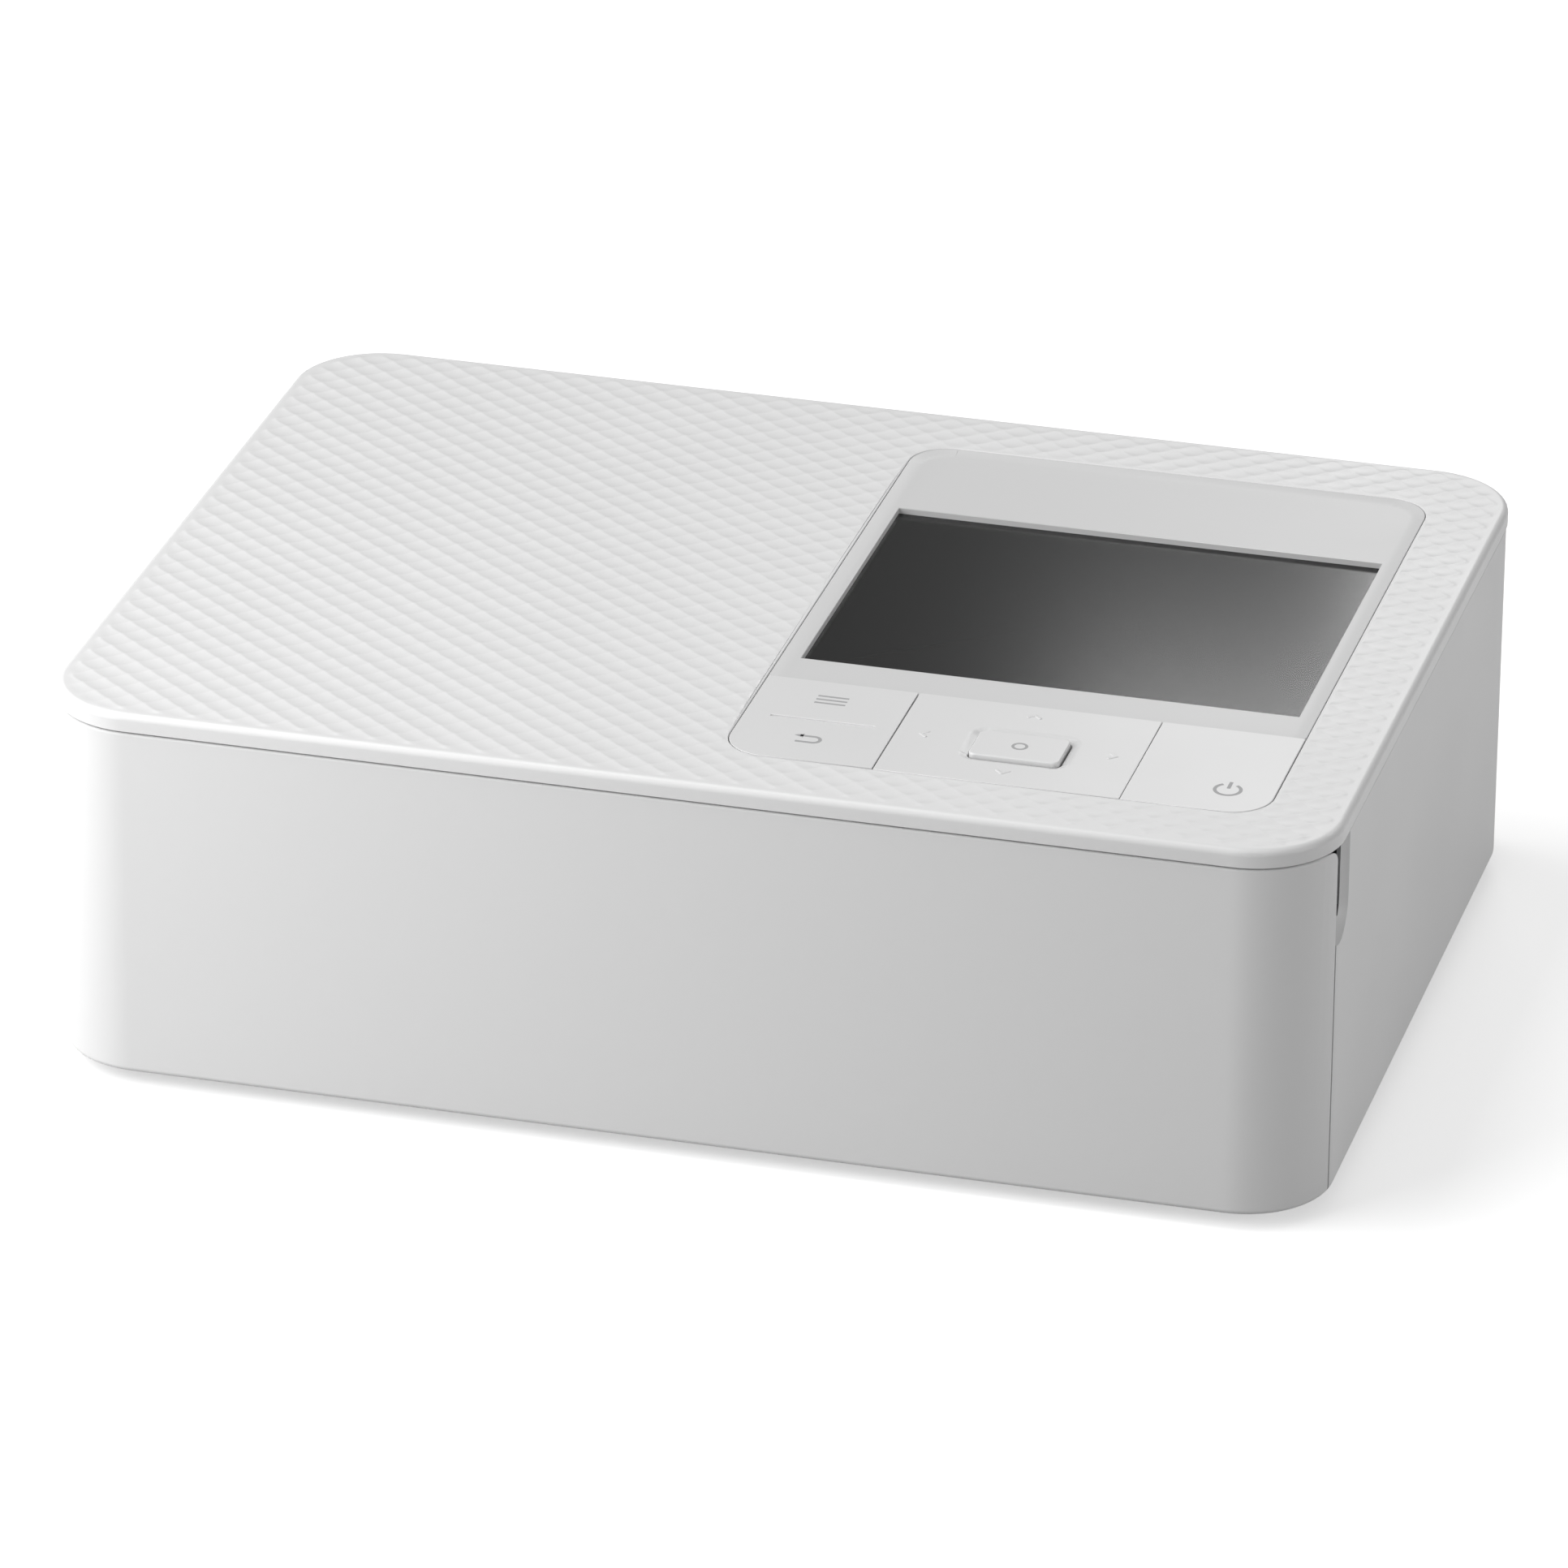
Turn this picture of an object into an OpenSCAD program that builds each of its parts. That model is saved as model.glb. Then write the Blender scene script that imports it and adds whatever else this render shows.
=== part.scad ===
// Compact dye-sublimation photo printer: a low white box with a patterned top
// cover, a tilted-light display and flush keys, a front cover that folds down
// over the paper slot and a right side panel that folds down over the ink cassette.
// Frame: origin at the centre of the footprint, front -Y, right +X, up +Z, in mm.

/* [Case] */
// Overall width
body_w = 182.2; // [164:0.1:200]
// Overall depth
body_d = 133; // [120:0.1:146]
// Overall height, feet to the crown of the centre key
body_h = 57.6; // [52:0.1:63]
// Radius of the four upright corners
corner_r = 12.9; // [12:0.1:14]
// Thickness of the outer walls
wall = 2.2; // [2:0.1:2.4]
// Thickness of the floor
floor_t = 2.2; // [2:0.1:2.4]
// Rounding of the lower outside edge
edge_r = 0.86; // [0.5:0.02:1.2]
// How far the top cover stands proud of the walls below it
lip = 0.2; // [0.1:0.05:0.4]
// Width of the parting lines between the outer shells
seam = 0.4; // [0.4:0.05:0.6]
// Height of the top cover above the parting line
cover_h = 2.8; // [2.7:0.1:3]
// Height of the centre key's crown above the top cover
crown = 0.2; // [0.1:0.05:0.3]
// Thickness of the top cover's plate
cover_t = 2; // [1.8:0.1:2.2]

/* [Feet] */
// Height of the rubber feet below the floor
foot_h = 2.2; // [2.2:0.1:2.8]
// Radius of a foot
foot_r = 6; // [4:0.5:7]
// Distance of the feet from the left and right sides
foot_in_x = 19.1; // [18:0.1:24]
// Distance of the feet from the front and back
foot_in_y = 18.5; // [17:0.1:22]

/* [Covers] */
// How far the front cover wraps round the corners
wrap = 10.4; // [9.6:0.1:10.8]
// Distance of the cover hinges inside the walls' inner faces
hinge_in = 0.7; // [0.6:0.05:0.8]
// Height of the cover hinges above the walls' lower edge
hinge_up = 2.2; // [2:0.1:2.4]
// Radius of the hinge pins
pin_r = 1; // [0.9:0.05:1]
// Distance of the front cover's hinge lugs from the side walls
front_lug_in = 18.7; // [18.7:0.1:28]
// Distance of the ink door's hinge lugs from the front and rear walls
side_lug_in = 32.1; // [30:0.1:36]
// Radius of the finger notch in the right side
notch_r = 6; // [5.5:0.1:6.2]
// Depth of the notch's round end below the parting line
notch_drop = 10; // [8:0.1:11]

/* [Panel] */
// Width of the panel's border at each side of the picture
panel_border = 2.75; // [2.5:0.05:3]
// Distance of the panel from the right side
panel_side = 10.85; // [10.5:0.05:11.1]
// Distance of the panel from the front
panel_front = 11.25; // [10.9:0.05:11.5]
// Distance of the panel from the back
panel_back = 12.25; // [11.5:0.05:14]
// Corner radius of the panel
panel_r = 6; // [5:0.1:7]
// Depth of the row of keys
keys_d = 26; // [25.7:0.05:26.3]
// Depth of the display's sunk face
panel_sink = 0.6; // [0.4:0.05:0.8]
// Width of the sloped rim round the display
rim_w = 2.2; // [1.8:0.1:2.3]
// Width of the visible picture
lcd_w = 71; // [64:0.5:79]
// Height of the visible picture
lcd_h = 54; // [50:0.5:60]
// Distance of the visible picture from the row of keys
lcd_front = 7.85; // [7.2:0.05:9.2]
// Width of the left key's field
left_key_w = 21.75; // [21.5:0.05:22]
// Width of the centre key's field
nav_w = 34.5; // [34.2:0.05:34.8]
// Gap round each key
key_gap = 0.15; // [0.12:0.01:0.2]
// Width of the centre key
ok_w = 12.75; // [12:0.25:13.5]
// Depth of the centre key
ok_d = 8; // [7.5:0.25:8.5]
// Width of the slope that leads down to the centre key all round
dish_w = 1.35; // [1:0.05:1.6]

/* [Frames and rollers] */
// Distance of the left frame plate from the left wall, with the gears and motors between
gear_side = 36.7; // [36:0.1:36.7]
// Distance of the right frame plate from the right wall
handle_side = 19.7; // [19:0.1:19.7]
// Thickness of the frame plates
frame_t = 1.6; // [1.5:0.1:2]
// Distance of the frames' top flanges below the parting line
frame_drop = 4.2; // [4:0.1:4.4]
// Distance of the platen roller and the print head from the rear wall
platen_back = 48.1; // [47.6:0.1:48.6]
// Radius of the platen roller
platen_r = 5; // [4.8:0.1:5.1]
// Distance of the grip and pinch rollers from the rear wall
grip_back = 10.1; // [10.1:0.1:10.5]
// Radius of the grip roller
grip_r = 4; // [3.8:0.1:4]
// Radius of the pinch roller
pinch_r = 3; // [2.6:0.1:3]
// Distance of the paper's path below the parting line
paper_drop = 29.65; // [29.6:0.01:29.7]
// Distance of the pick-up roller from the rear wall
pick_back = 86.1; // [86.1:0.1:86.5]
// Height of the pick-up roller's axis above the paper's path
pick_rise = 2.05; // [1.95:0.05:2.25]
// Radius of the pick-up roller's tyres
pick_r = 6.5; // [6:0.1:6.5]
// Radius of the roller shafts
shaft_r = 2; // [1.8:0.1:2.1]
// Radial clearance of a running fit
run_fit = 0.05; // [0.03:0.01:0.08]

/* [Gears] */
// Thickness of the gears
gear_t = 4; // [3.5:0.1:4]
// Tooth module of the paper feed pair
feed_m = 0.5; // [0.48:0.01:0.5]
// Teeth on the grip roller's gear
grip_teeth = 36; // [34:1:36]
// Teeth on each motor's pinion
pinion_teeth = 12; // [12:1:13]
// Tooth module of the ribbon train
ribbon_m = 0.8; // [0.76:0.01:0.8]
// Teeth on the take-up gear
takeup_teeth = 24; // [23:1:24]
// Teeth on the idler
idler_teeth = 16; // [15:1:17]
// Teeth on the pick-up roller's gear
pick_teeth = 18; // [17:1:18]
// Backlash along the pitch circle
backlash = 0.12; // [0.1:0.01:0.2]

/* [Ink cassette] */
// Outer radius of the two spool tubes
tube_r = 9; // [8.7:0.1:9]
// Wall of the spool tubes
tube_wall = 1; // [0.8:0.1:1.2]
// Height of the spools' axes above the paper's path
spool_rise = 10.55; // [10.55:0.05:10.85]
// Distance of the take-up spool in front of the platen
takeup_out = 20; // [20:0.1:20.2]
// Distance of the supply spool behind the platen
supply_out = 20; // [20:0.1:20.2]
// Radius of the full ribbon roll
supply_roll_r = 7; // [6:0.1:7]
// Radius of the wound take-up roll
takeup_roll_r = 4.8; // [4.6:0.1:6.5]
// Radius of the spool cores
core_r = 4.2; // [4:0.1:4.4]
// Half width across the corners of the drive spindle
spindle_r = 2.6; // [2.4:0.1:2.7]

/* [Print head] */
// Distance of the head arm's pivot from the rear wall
arm_back = 7.1; // [6.9:0.1:7.3]
// Distance of the head arm's pivot below the frames' top flanges
arm_drop = 2.9; // [2.8:0.1:3]
// Radius of the head arm's shaft
arm_shaft_r = 1.5; // [1.3:0.1:1.6]
// Distance of the heating line's ceramic bar from the left frame
head_left = 14.5; // [13.5:0.5:16.5]
// Distance of the ceramic bar from the right frame
head_right = 8.5; // [7.5:0.5:10.5]
// Height of the raised head's lower face above the paper's path
head_lift = 4.55; // [4.55:0.05:4.85]

/* [Paper slot] */
// Distance of the paper cavity from the left frame
slot_left = 2; // [2:0.1:4]
// Distance of the paper cavity from the right frame
slot_right = 3; // [3:0.1:5]
// Distance of the front slot's upper edge below the paper's path
slot_drop = 1.95; // [1.95:0.05:2.35]
// Thickness of the front fascia
fascia_t = 2.4; // [2.2:0.1:2.6]
// Distance of the rear slot's left end from the left frame
rear_left = 8; // [6:0.5:12]
// Distance of the rear slot's right end from the right frame
rear_right = 9; // [7:0.5:13]
// Height of the rear slot
rear_h = 5.5; // [5:0.1:6]

/* [Hidden] */
$fn = 96;

// Case, worked out from the driving sizes
half_w = body_w / 2;
half_d = body_d / 2;
in_x = half_w - lip - wall;              // inner face of the side walls
in_y = half_d - lip - wall;              // inner face of the front and rear walls
cover_top = body_h - crown;
cover_under = cover_top - cover_t;
split_z = cover_top - cover_h;           // the parting line under the top cover
floor_z = foot_h + floor_t;              // top of the floor
wall_top = split_z - seam / 2;
cover_z0 = split_z + seam / 2;
foot_x = half_w - foot_in_x;
foot_y = half_d - foot_in_y;
wrap_y = half_d - wrap;                  // end of the front cover's returns
side_y = wrap_y - seam;                  // ends of the ink door
hinge_z = foot_h + hinge_up;
front_lug_x = in_x - front_lug_in;
side_lug_y = in_y - side_lug_in;
notch_z = split_z - notch_drop;
snap_x = front_lug_x - 20;
snap_z = split_z - 4.4;
front_hinge_y = -(in_y - hinge_in);
side_hinge_x = in_x - hinge_in;
swing_gap = 0.4;                         // left between a swinging edge and the base
base_front = front_hinge_y + hinge_up + swing_gap;
base_right = side_hinge_x - hinge_up - swing_gap;
base_r = 12;
fascia_back = base_front + fascia_t;
side_fascia_t = 1.6;
fascia_half = in_x - 5.2;                // the front fascia ends clear of the cover's corners
ear_t = 2.5;
lug_t = 4;
lug_r = 2;
ear_r = 1.6;
lug_gap = 0.4;
pin_fit = 0.06;

// Panel and keys
panel_x1 = half_w - panel_side;
panel_x0 = panel_x1 - lcd_w - 2 * panel_border;
panel_y0 = -half_d + panel_front;
panel_y1 = half_d - panel_back;
keys_y = panel_y0 + keys_d;              // line between the keys and the display
lcd_y = keys_y + lcd_front;
key_x1 = panel_x0 + left_key_w;
key_x2 = key_x1 + nav_w;                 // lines beside the centre key
bezel_z1 = cover_top - panel_sink;       // the display's sunk face
bezel_t = 0.9;
bezel_z0 = bezel_z1 - bezel_t;
lcd_x0 = (panel_x0 + panel_x1 - lcd_w) / 2 - 0.1;
window_lap = 1;
window_t = 0.9;
lcd_t = 2.8;
key_t = 1.8;
key_z0 = cover_top - key_t;
ledge_w = 1.2;
carrier_z1 = cover_z0 - 0.2;             // the panel's ledge sits on the key carrier
carrier_t = 1;
carrier_z0 = carrier_z1 - carrier_t;
board_t = 1.2;
board_gap = 0.6;
key_axis_z = carrier_z0 + 0.7;
key_axis_y = (panel_y0 + keys_y) / 2;
key_pin_r = 0.6;
dome_r = 1.6;
dome_h = 0.6;
dome_z0 = carrier_z0 - board_gap;
plunger_z0 = dome_z0 + dome_h + 0.6;
nav_x = (key_x1 + key_x2) / 2;
ok_x = nav_x + 0.4;
ok_y = key_axis_y - 0.75;
ok_gap = 0.25;
ok_r = 1;
dish_t = 0.5;
menu_x = (panel_x0 + key_x1) / 2;
power_x = (key_x2 + panel_x1) / 2;
menu_reach = 6.5;                        // of a rocker plunger from the rocker's axis
nav_reach_x = 9.15;
nav_reach_y = 11;
nav_side = 5.2;
domes = [
    [menu_x, key_axis_y + menu_reach], [menu_x, key_axis_y - menu_reach],
    [nav_x - nav_reach_x, key_axis_y], [nav_x + nav_reach_x, key_axis_y],
    [nav_x - nav_side, key_axis_y + nav_reach_y], [nav_x - nav_side, key_axis_y - nav_reach_y],
    [ok_x, ok_y], [power_x, key_axis_y]
];

// Frames and rollers
frame_x0 = -in_x + gear_side;
frame_x1 = in_x - handle_side;
frame_top = split_z - frame_drop;
paper_z = split_z - paper_drop;
platen_press = 0.05;                     // the platen's crown stands this far into the paper's path
platen_y = in_y - platen_back;
platen_z = paper_z + platen_press - platen_r;
grip_y = in_y - grip_back;
pick_y = in_y - pick_back;
pick_z = paper_z + pick_rise;
spool_z = paper_z + spool_rise;
takeup_y = platen_y - takeup_out;
supply_y = platen_y + supply_out;
arm_y = in_y - arm_back;
arm_z = frame_top - arm_drop;
slot_x0 = frame_x0 + slot_left;
slot_x1 = frame_x1 - slot_right;
slot_z1 = paper_z - slot_drop;
bay_back = platen_y - 16;                // back of the paper cavity
frame_out0 = frame_x0 - frame_t;
frame_out1 = frame_x1 + frame_t;
frame_y0 = pick_y - 10;
frame_y1 = in_y - 2.1;
flange_t = 1.2;
flange_w = 8;
grip_z = paper_z - grip_r;
pinch_gap = 0.15;
pinch_z = paper_z + pinch_gap + pinch_r;
roller_x0 = frame_x0 + 4;
roller_x1 = frame_x1 - 4;
journal_r = 2.5;
pinch_shaft_r = 1.5;
bush_r = 3.6;
bush_flange_r = 4.6;
bush_flange_t = 0.8;
shaft_out = 2;                           // of a journal beyond the frame
deck_z = slot_z1 + 0.2;
deck_t = 1.2;
tyre_w = 12;
tyre_x = [frame_x0 + 22, (frame_x0 + frame_x1) / 2, frame_x1 - 22];
tie_r = 2;
tie_places = [[frame_y0 + 3.5, frame_top - 4.4], [grip_y - 5, floor_z + 5.6]];

// Gear bay between the left frame and the motor plate
gear_x1 = frame_out0 - 2;
gear_x0 = gear_x1 - gear_t;
plate_x1 = gear_x0 - 1.2;
plate_t = 1.2;
plate_x0 = plate_x1 - plate_t;
plate_y0 = takeup_y - 10;
shaft_end = gear_x0 - 0.7;
ribbon_motor_r = 10;
feed_motor_r = 7.5;
motor_l = 22;
motor_shaft_r = 1;
takeup_pitch = ribbon_m * takeup_teeth / 2;
idler_pitch = ribbon_m * idler_teeth / 2;
pick_pitch = ribbon_m * pick_teeth / 2;
ribbon_pinion_pitch = ribbon_m * pinion_teeth / 2;
grip_pitch = feed_m * grip_teeth / 2;
feed_pinion_pitch = feed_m * pinion_teeth / 2;
takeup_c = [takeup_y, spool_z];
pick_c = [pick_y, pick_z];
grip_c = [grip_y, grip_z];
ribbon_motor_c = takeup_c + [takeup_pitch + ribbon_pinion_pitch, 0];
feed_dir = 135;                          // from the grip gear to its pinion
feed_motor_c = grip_c + (grip_pitch + feed_pinion_pitch) * [cos(feed_dir), sin(feed_dir)];
// The idler touches both the take-up gear and the pick-up gear, above the line between them
takeup_to_pick = pick_c - takeup_c;
span = norm(takeup_to_pick);
reach_t = takeup_pitch + idler_pitch;
reach_p = pick_pitch + idler_pitch;
along = (reach_t * reach_t - reach_p * reach_p + span * span) / (2 * span);
rise = sqrt(reach_t * reach_t - along * along);
span_dir = takeup_to_pick / span;
idler_c = takeup_c + along * span_dir + rise * [span_dir[1], -span_dir[0]];
function bearing(from, to) = atan2(to[1] - from[1], to[0] - from[0]);
// Angle of a tooth on the second gear that meshes with a first gear of known tooth angle
function mesh_phase(phase, n1, n2, dir) = dir + 180 - (phase - dir) * n1 / n2 + 180 / n2;
takeup_phase = 0;
ribbon_pinion_phase = mesh_phase(takeup_phase, takeup_teeth, pinion_teeth, 0);
idler_dir = bearing(takeup_c, idler_c);
idler_phase = mesh_phase(takeup_phase, takeup_teeth, idler_teeth, idler_dir);
pick_phase = mesh_phase(idler_phase, idler_teeth, pick_teeth, bearing(idler_c, pick_c));
grip_phase = feed_dir;
feed_pinion_phase = mesh_phase(grip_phase, grip_teeth, pinion_teeth, feed_dir);

// Lever beside the cassette
lever_gap = 6.5;                         // from the cassette to the lever's middle
lever_t = 2.8;

// Ink cassette
tube_x0 = frame_x0 + 8;
tube_x1 = frame_x1 - 3;
grip_end = base_right - 0.6;             // outer face of the cassette's handle
cassette_z0 = spool_z - tube_r;
cassette_z1 = spool_z + tube_r;
cassette_y0 = takeup_y - tube_r;
cassette_y1 = supply_y + tube_r;
bay_gap = 0.6;                           // round the cassette in the frame and fascia
lever_y = cassette_y1 + lever_gap;
lever_z = spool_z - 4.5;                 // the lever's pivot
web_z = platen_z + platen_r + 0.64;
web_t = 0.12;
bridge_h = 2.2;
spool_fit = 0.2;

// Print head
arm_t = 1.5;
arm_z0 = arm_z - 0.7;
arm_front = platen_y - 8;
head_x0 = frame_x0 + head_left;
head_x1 = frame_x1 - head_right;
head_z = paper_z + head_lift;
head_d = 10;
head_t = 2;

// Electronics
board_x0 = -in_x + 1.6;
board_x1 = board_x0 + 23;
board_l = 87;
board_y1 = in_y - 13.6;
board_y0 = board_y1 - board_l;
board_z0 = floor_z + 2.2;
pcb_t = 1.6;
board_top = board_z0 + pcb_t;
inlet_x = board_x0 + 15;
inlet_z = board_top + 4.5;
card_y = board_y0 + 19.5;
usb_y = board_y0 + 46.5;
socket_lap = 0.1;                        // left between a socket and the wall

// Screws
screw_r = 1.3;
screw_head_r = 2.6;
screw_head_t = 1.4;
screw_l = 9;
boss_r = 3.2;
boss_h = 10.6;
// Case screws: place, and the direction of the rib that joins the boss to its wall
case_bosses = [
    [-in_x + 6, -in_y + 9.6, 180], [-in_x + 5.2, in_y - 9.1, 180],
    [frame_x0 + 22, in_y - 3, 90], [frame_x1 - 5, in_y - 3, 90]
];
cover_bosses = [
    [frame_out0 - 3.4, frame_y0 + 7], [frame_out0 - 3.4, frame_y1 - 8],
    [base_right - side_fascia_t - 1.8, frame_y0 + 7],
    [base_right - side_fascia_t - 1.8, frame_y1 - 15]
];
cover_boss_r = 1.65;
cover_screw_r = 0.8;
foot_screws = [
    [frame_x0 + 4, platen_y + 14], [frame_x0 + 4, frame_y1 - 6],
    [frame_out1 + 4, frame_y0 + 10], [frame_out1 + 4, frame_y1 - 8],
    [plate_x1 + 3.2, plate_y0 + 4], [plate_x1 + 3.2, plate_y0 + 48]
];

// ---------------------------------------------------------------- shapes in common

module block(x0, x1, y0, y1, z0, z1) {
    translate([x0, y0, z0]) cube([x1 - x0, y1 - y0, z1 - z0]);
}

module rod_x(x0, x1, c, r) {
    translate([x0, c[0], c[1]]) rotate([0, 90, 0]) cylinder(h = x1 - x0, r = r);
}

module rod_y(x, y0, y1, z, r) {
    translate([x, y1, z]) rotate([90, 0, 0]) cylinder(h = y1 - y0, r = r);
}

module rod_z(x, y, z0, z1, r) {
    translate([x, y, z0]) cylinder(h = z1 - z0, r = r);
}

// Rectangle with four rounded corners
module round_rect(x0, x1, y0, y1, r) {
    translate([x0 + r, y0]) square([x1 - x0 - 2 * r, y1 - y0]);
    translate([x0, y0 + r]) square([x1 - x0, y1 - y0 - 2 * r]);
    for (x = [x0 + r, x1 - r], y = [y0 + r, y1 - r]) translate([x, y]) circle(r);
}

module round_block(x0, x1, y0, y1, z0, z1, r) {
    translate([0, 0, z0]) linear_extrude(z1 - z0) round_rect(x0, x1, y0, y1, r);
}

// Outline of the case, drawn in by inset
module case_outline(inset) {
    round_rect(-half_w + inset, half_w - inset, -half_d + inset, half_d - inset,
        corner_r - inset);
}

// Carries a profile (across from the corner's centre, height) round a rounded rectangle
module swept(x0, x1, y0, y1, r) {
    lap = 0.01;
    for (c = [[x1 - r, y1 - r, 0], [x0 + r, y1 - r, 90], [x0 + r, y0 + r, 180],
              [x1 - r, y0 + r, 270]])
        translate([c[0], c[1], 0]) rotate([0, 0, c[2]]) rotate_extrude(angle = 90) children();
    for (s = [[x1 - r, (y0 + y1) / 2, 0, y1 - y0], [(x0 + x1) / 2, y1 - r, 90, x1 - x0],
              [x0 + r, (y0 + y1) / 2, 180, y1 - y0], [(x0 + x1) / 2, y0 + r, 270, x1 - x0]])
        translate([s[0], s[1], 0]) rotate([0, 0, s[2]]) rotate([90, 0, 0])
            linear_extrude(s[3] - 2 * r + 2 * lap, center = true) children();
}

// Waste of an outside edge rounded to radius e, at across r and height 0
module edge_waste(r, e) {
    difference() {
        translate([r - e, -1]) square([e + 1, e + 1]);
        translate([r - e, e]) circle(e);
    }
}

// The outer wall between two heights, with its lower edge rounded
module case_wall() {
    r = corner_r - lip;
    difference() {
        translate([0, 0, foot_h]) linear_extrude(wall_top - foot_h) difference() {
            case_outline(lip);
            case_outline(lip + wall);
        }
        swept(-half_w + lip, half_w - lip, -half_d + lip, half_d - lip, r)
            translate([0, foot_h]) edge_waste(r, edge_r);
    }
}

// Half the tooth's angle at radius r on a gear with base radius rb
function roll_angle(r, rb) = r <= rb ? 0 : tan(acos(rb / r)) * 180 / PI - acos(rb / r);

// Spur gear with involute flanks in the YZ plane, one tooth centre at angle phase
module spur_gear(x0, x1, c, m, n, phase, bore) {
    pressure = 20;
    rp = m * n / 2;
    rb = rp * cos(pressure);
    root = rp - 1.2 * m;
    tip = rp + 0.95 * m;
    half = 90 / n - backlash / rp * 90 / PI / 2 + roll_angle(rp, rb);
    radii = [root, max(rb, root + 0.05), rp, (rp + tip) / 2, tip];
    translate([x0, c[0], c[1]]) rotate([90, 0, 90]) rotate([0, 0, phase])
        linear_extrude(x1 - x0) difference() {
            polygon([for (k = [0 : n - 1]) each concat(
                [for (r = radii) let (a = k * 360 / n - half + roll_angle(r, rb)) r * [cos(a), sin(a)]],
                [for (i = [4 : -1 : 0]) let (r = radii[i], a = k * 360 / n + half - roll_angle(r, rb))
                    r * [cos(a), sin(a)]])]);
            circle(bore);
        }
}

// ---------------------------------------------------------------- case

// Hinge ear on the base: a disc round the pin and an arm that reaches back over the floor
module hinge_ear(depth) {
    difference() {
        union() {
            translate([0, 0, 0]) rotate([0, 90, 0]) cylinder(h = ear_t, r = ear_r);
            translate([0, 0, 0.3]) cube([ear_t, depth, ear_r - 0.3]);
            translate([0, hinge_up + swing_gap, -0.4])
                cube([ear_t, depth - hinge_up - swing_gap, ear_r + 0.4]);
        }
        translate([-1, 0, 0]) rotate([0, 90, 0]) cylinder(h = ear_t + 2, r = pin_r);
    }
}

module front_ears() {
    for (x = [front_lug_x + lug_t + lug_gap, -front_lug_x - lug_t - lug_gap - ear_t])
        translate([x, front_hinge_y, hinge_z]) hinge_ear(hinge_up + swing_gap + 1.6);
}

module side_ears() {
    for (y = [side_lug_y + lug_t + lug_gap, -side_lug_y - lug_t - lug_gap - ear_t])
        translate([side_hinge_x, y, hinge_z]) rotate([0, 0, 90])
            hinge_ear(hinge_up + swing_gap + 1.4);
}

module base_outline() {
    round_rect(-in_x, base_right, base_front, in_y, base_r);
}

module base_tray() {
    rib_t = 1.6;
    rib_z = slot_z1 - 3.6;
    color("whitesmoke") difference() {
        union() {
            translate([0, 0, foot_h]) linear_extrude(floor_t) base_outline();
            front_ears();
            side_ears();
            // guide ribs and the back stop of the paper cassette's bay
            for (x = [slot_x0 - 0.4 - rib_t, slot_x1 + 0.4])
                block(x, x + rib_t, fascia_back + 0.2, bay_back, floor_z - 0.5, rib_z);
            block(slot_x0, slot_x1, bay_back + 1, bay_back + 1 + rib_t, floor_z - 0.5,
                platen_z - platen_r - 1);
            // posts under the main board
            for (x = [board_x0 + 3, board_x1 - 3], y = [board_y0 + 4, board_y1 - 4])
                rod_z(x, y, floor_z - 0.5, board_z0, 2.4);
        }
        for (b = case_bosses) {
            rod_z(b[0], b[1], foot_h - 1, floor_z + 1, screw_r + 0.2);
            rod_z(b[0], b[1], foot_h - 1, foot_h + screw_head_t, screw_head_r + 0.2);
        }
        for (x = [-foot_x, foot_x], y = [-foot_y, foot_y])
            rod_z(x, y, foot_h - 1, foot_h + 1.2, foot_r / 2);
        for (s = foot_screws) rod_z(s[0], s[1], floor_z - 1.8, floor_z + 1, screw_r);
        // cooling slots under the electronics
        for (i = [0 : 6])
            block(board_x0 + 5 + i * 2.4, board_x0 + 6.2 + i * 2.4, usb_y - 10, usb_y + 14,
                foot_h - 1, floor_z + 1);
    }
}

module rubber_feet() {
    color("dimgray") for (x = [-foot_x, foot_x], y = [-foot_y, foot_y]) {
        difference() {
            rod_z(x, y, 0, foot_h, foot_r);
            translate([x, y, 0]) rotate_extrude() edge_waste(foot_r, 0.5);
        }
        rod_z(x, y, foot_h - 0.5, foot_h + 1.2, foot_r / 2);
    }
}

module boss_with_rib(x, y, dir) {
    rod_z(x, y, floor_z, floor_z + boss_h, boss_r);
    translate([x, y, floor_z]) rotate([0, 0, dir]) translate([0, -0.8, 0])
        cube([dir == 90 ? in_y - y + 0.3 : in_x + x + 0.3, 1.6, boss_h]);
}

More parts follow.
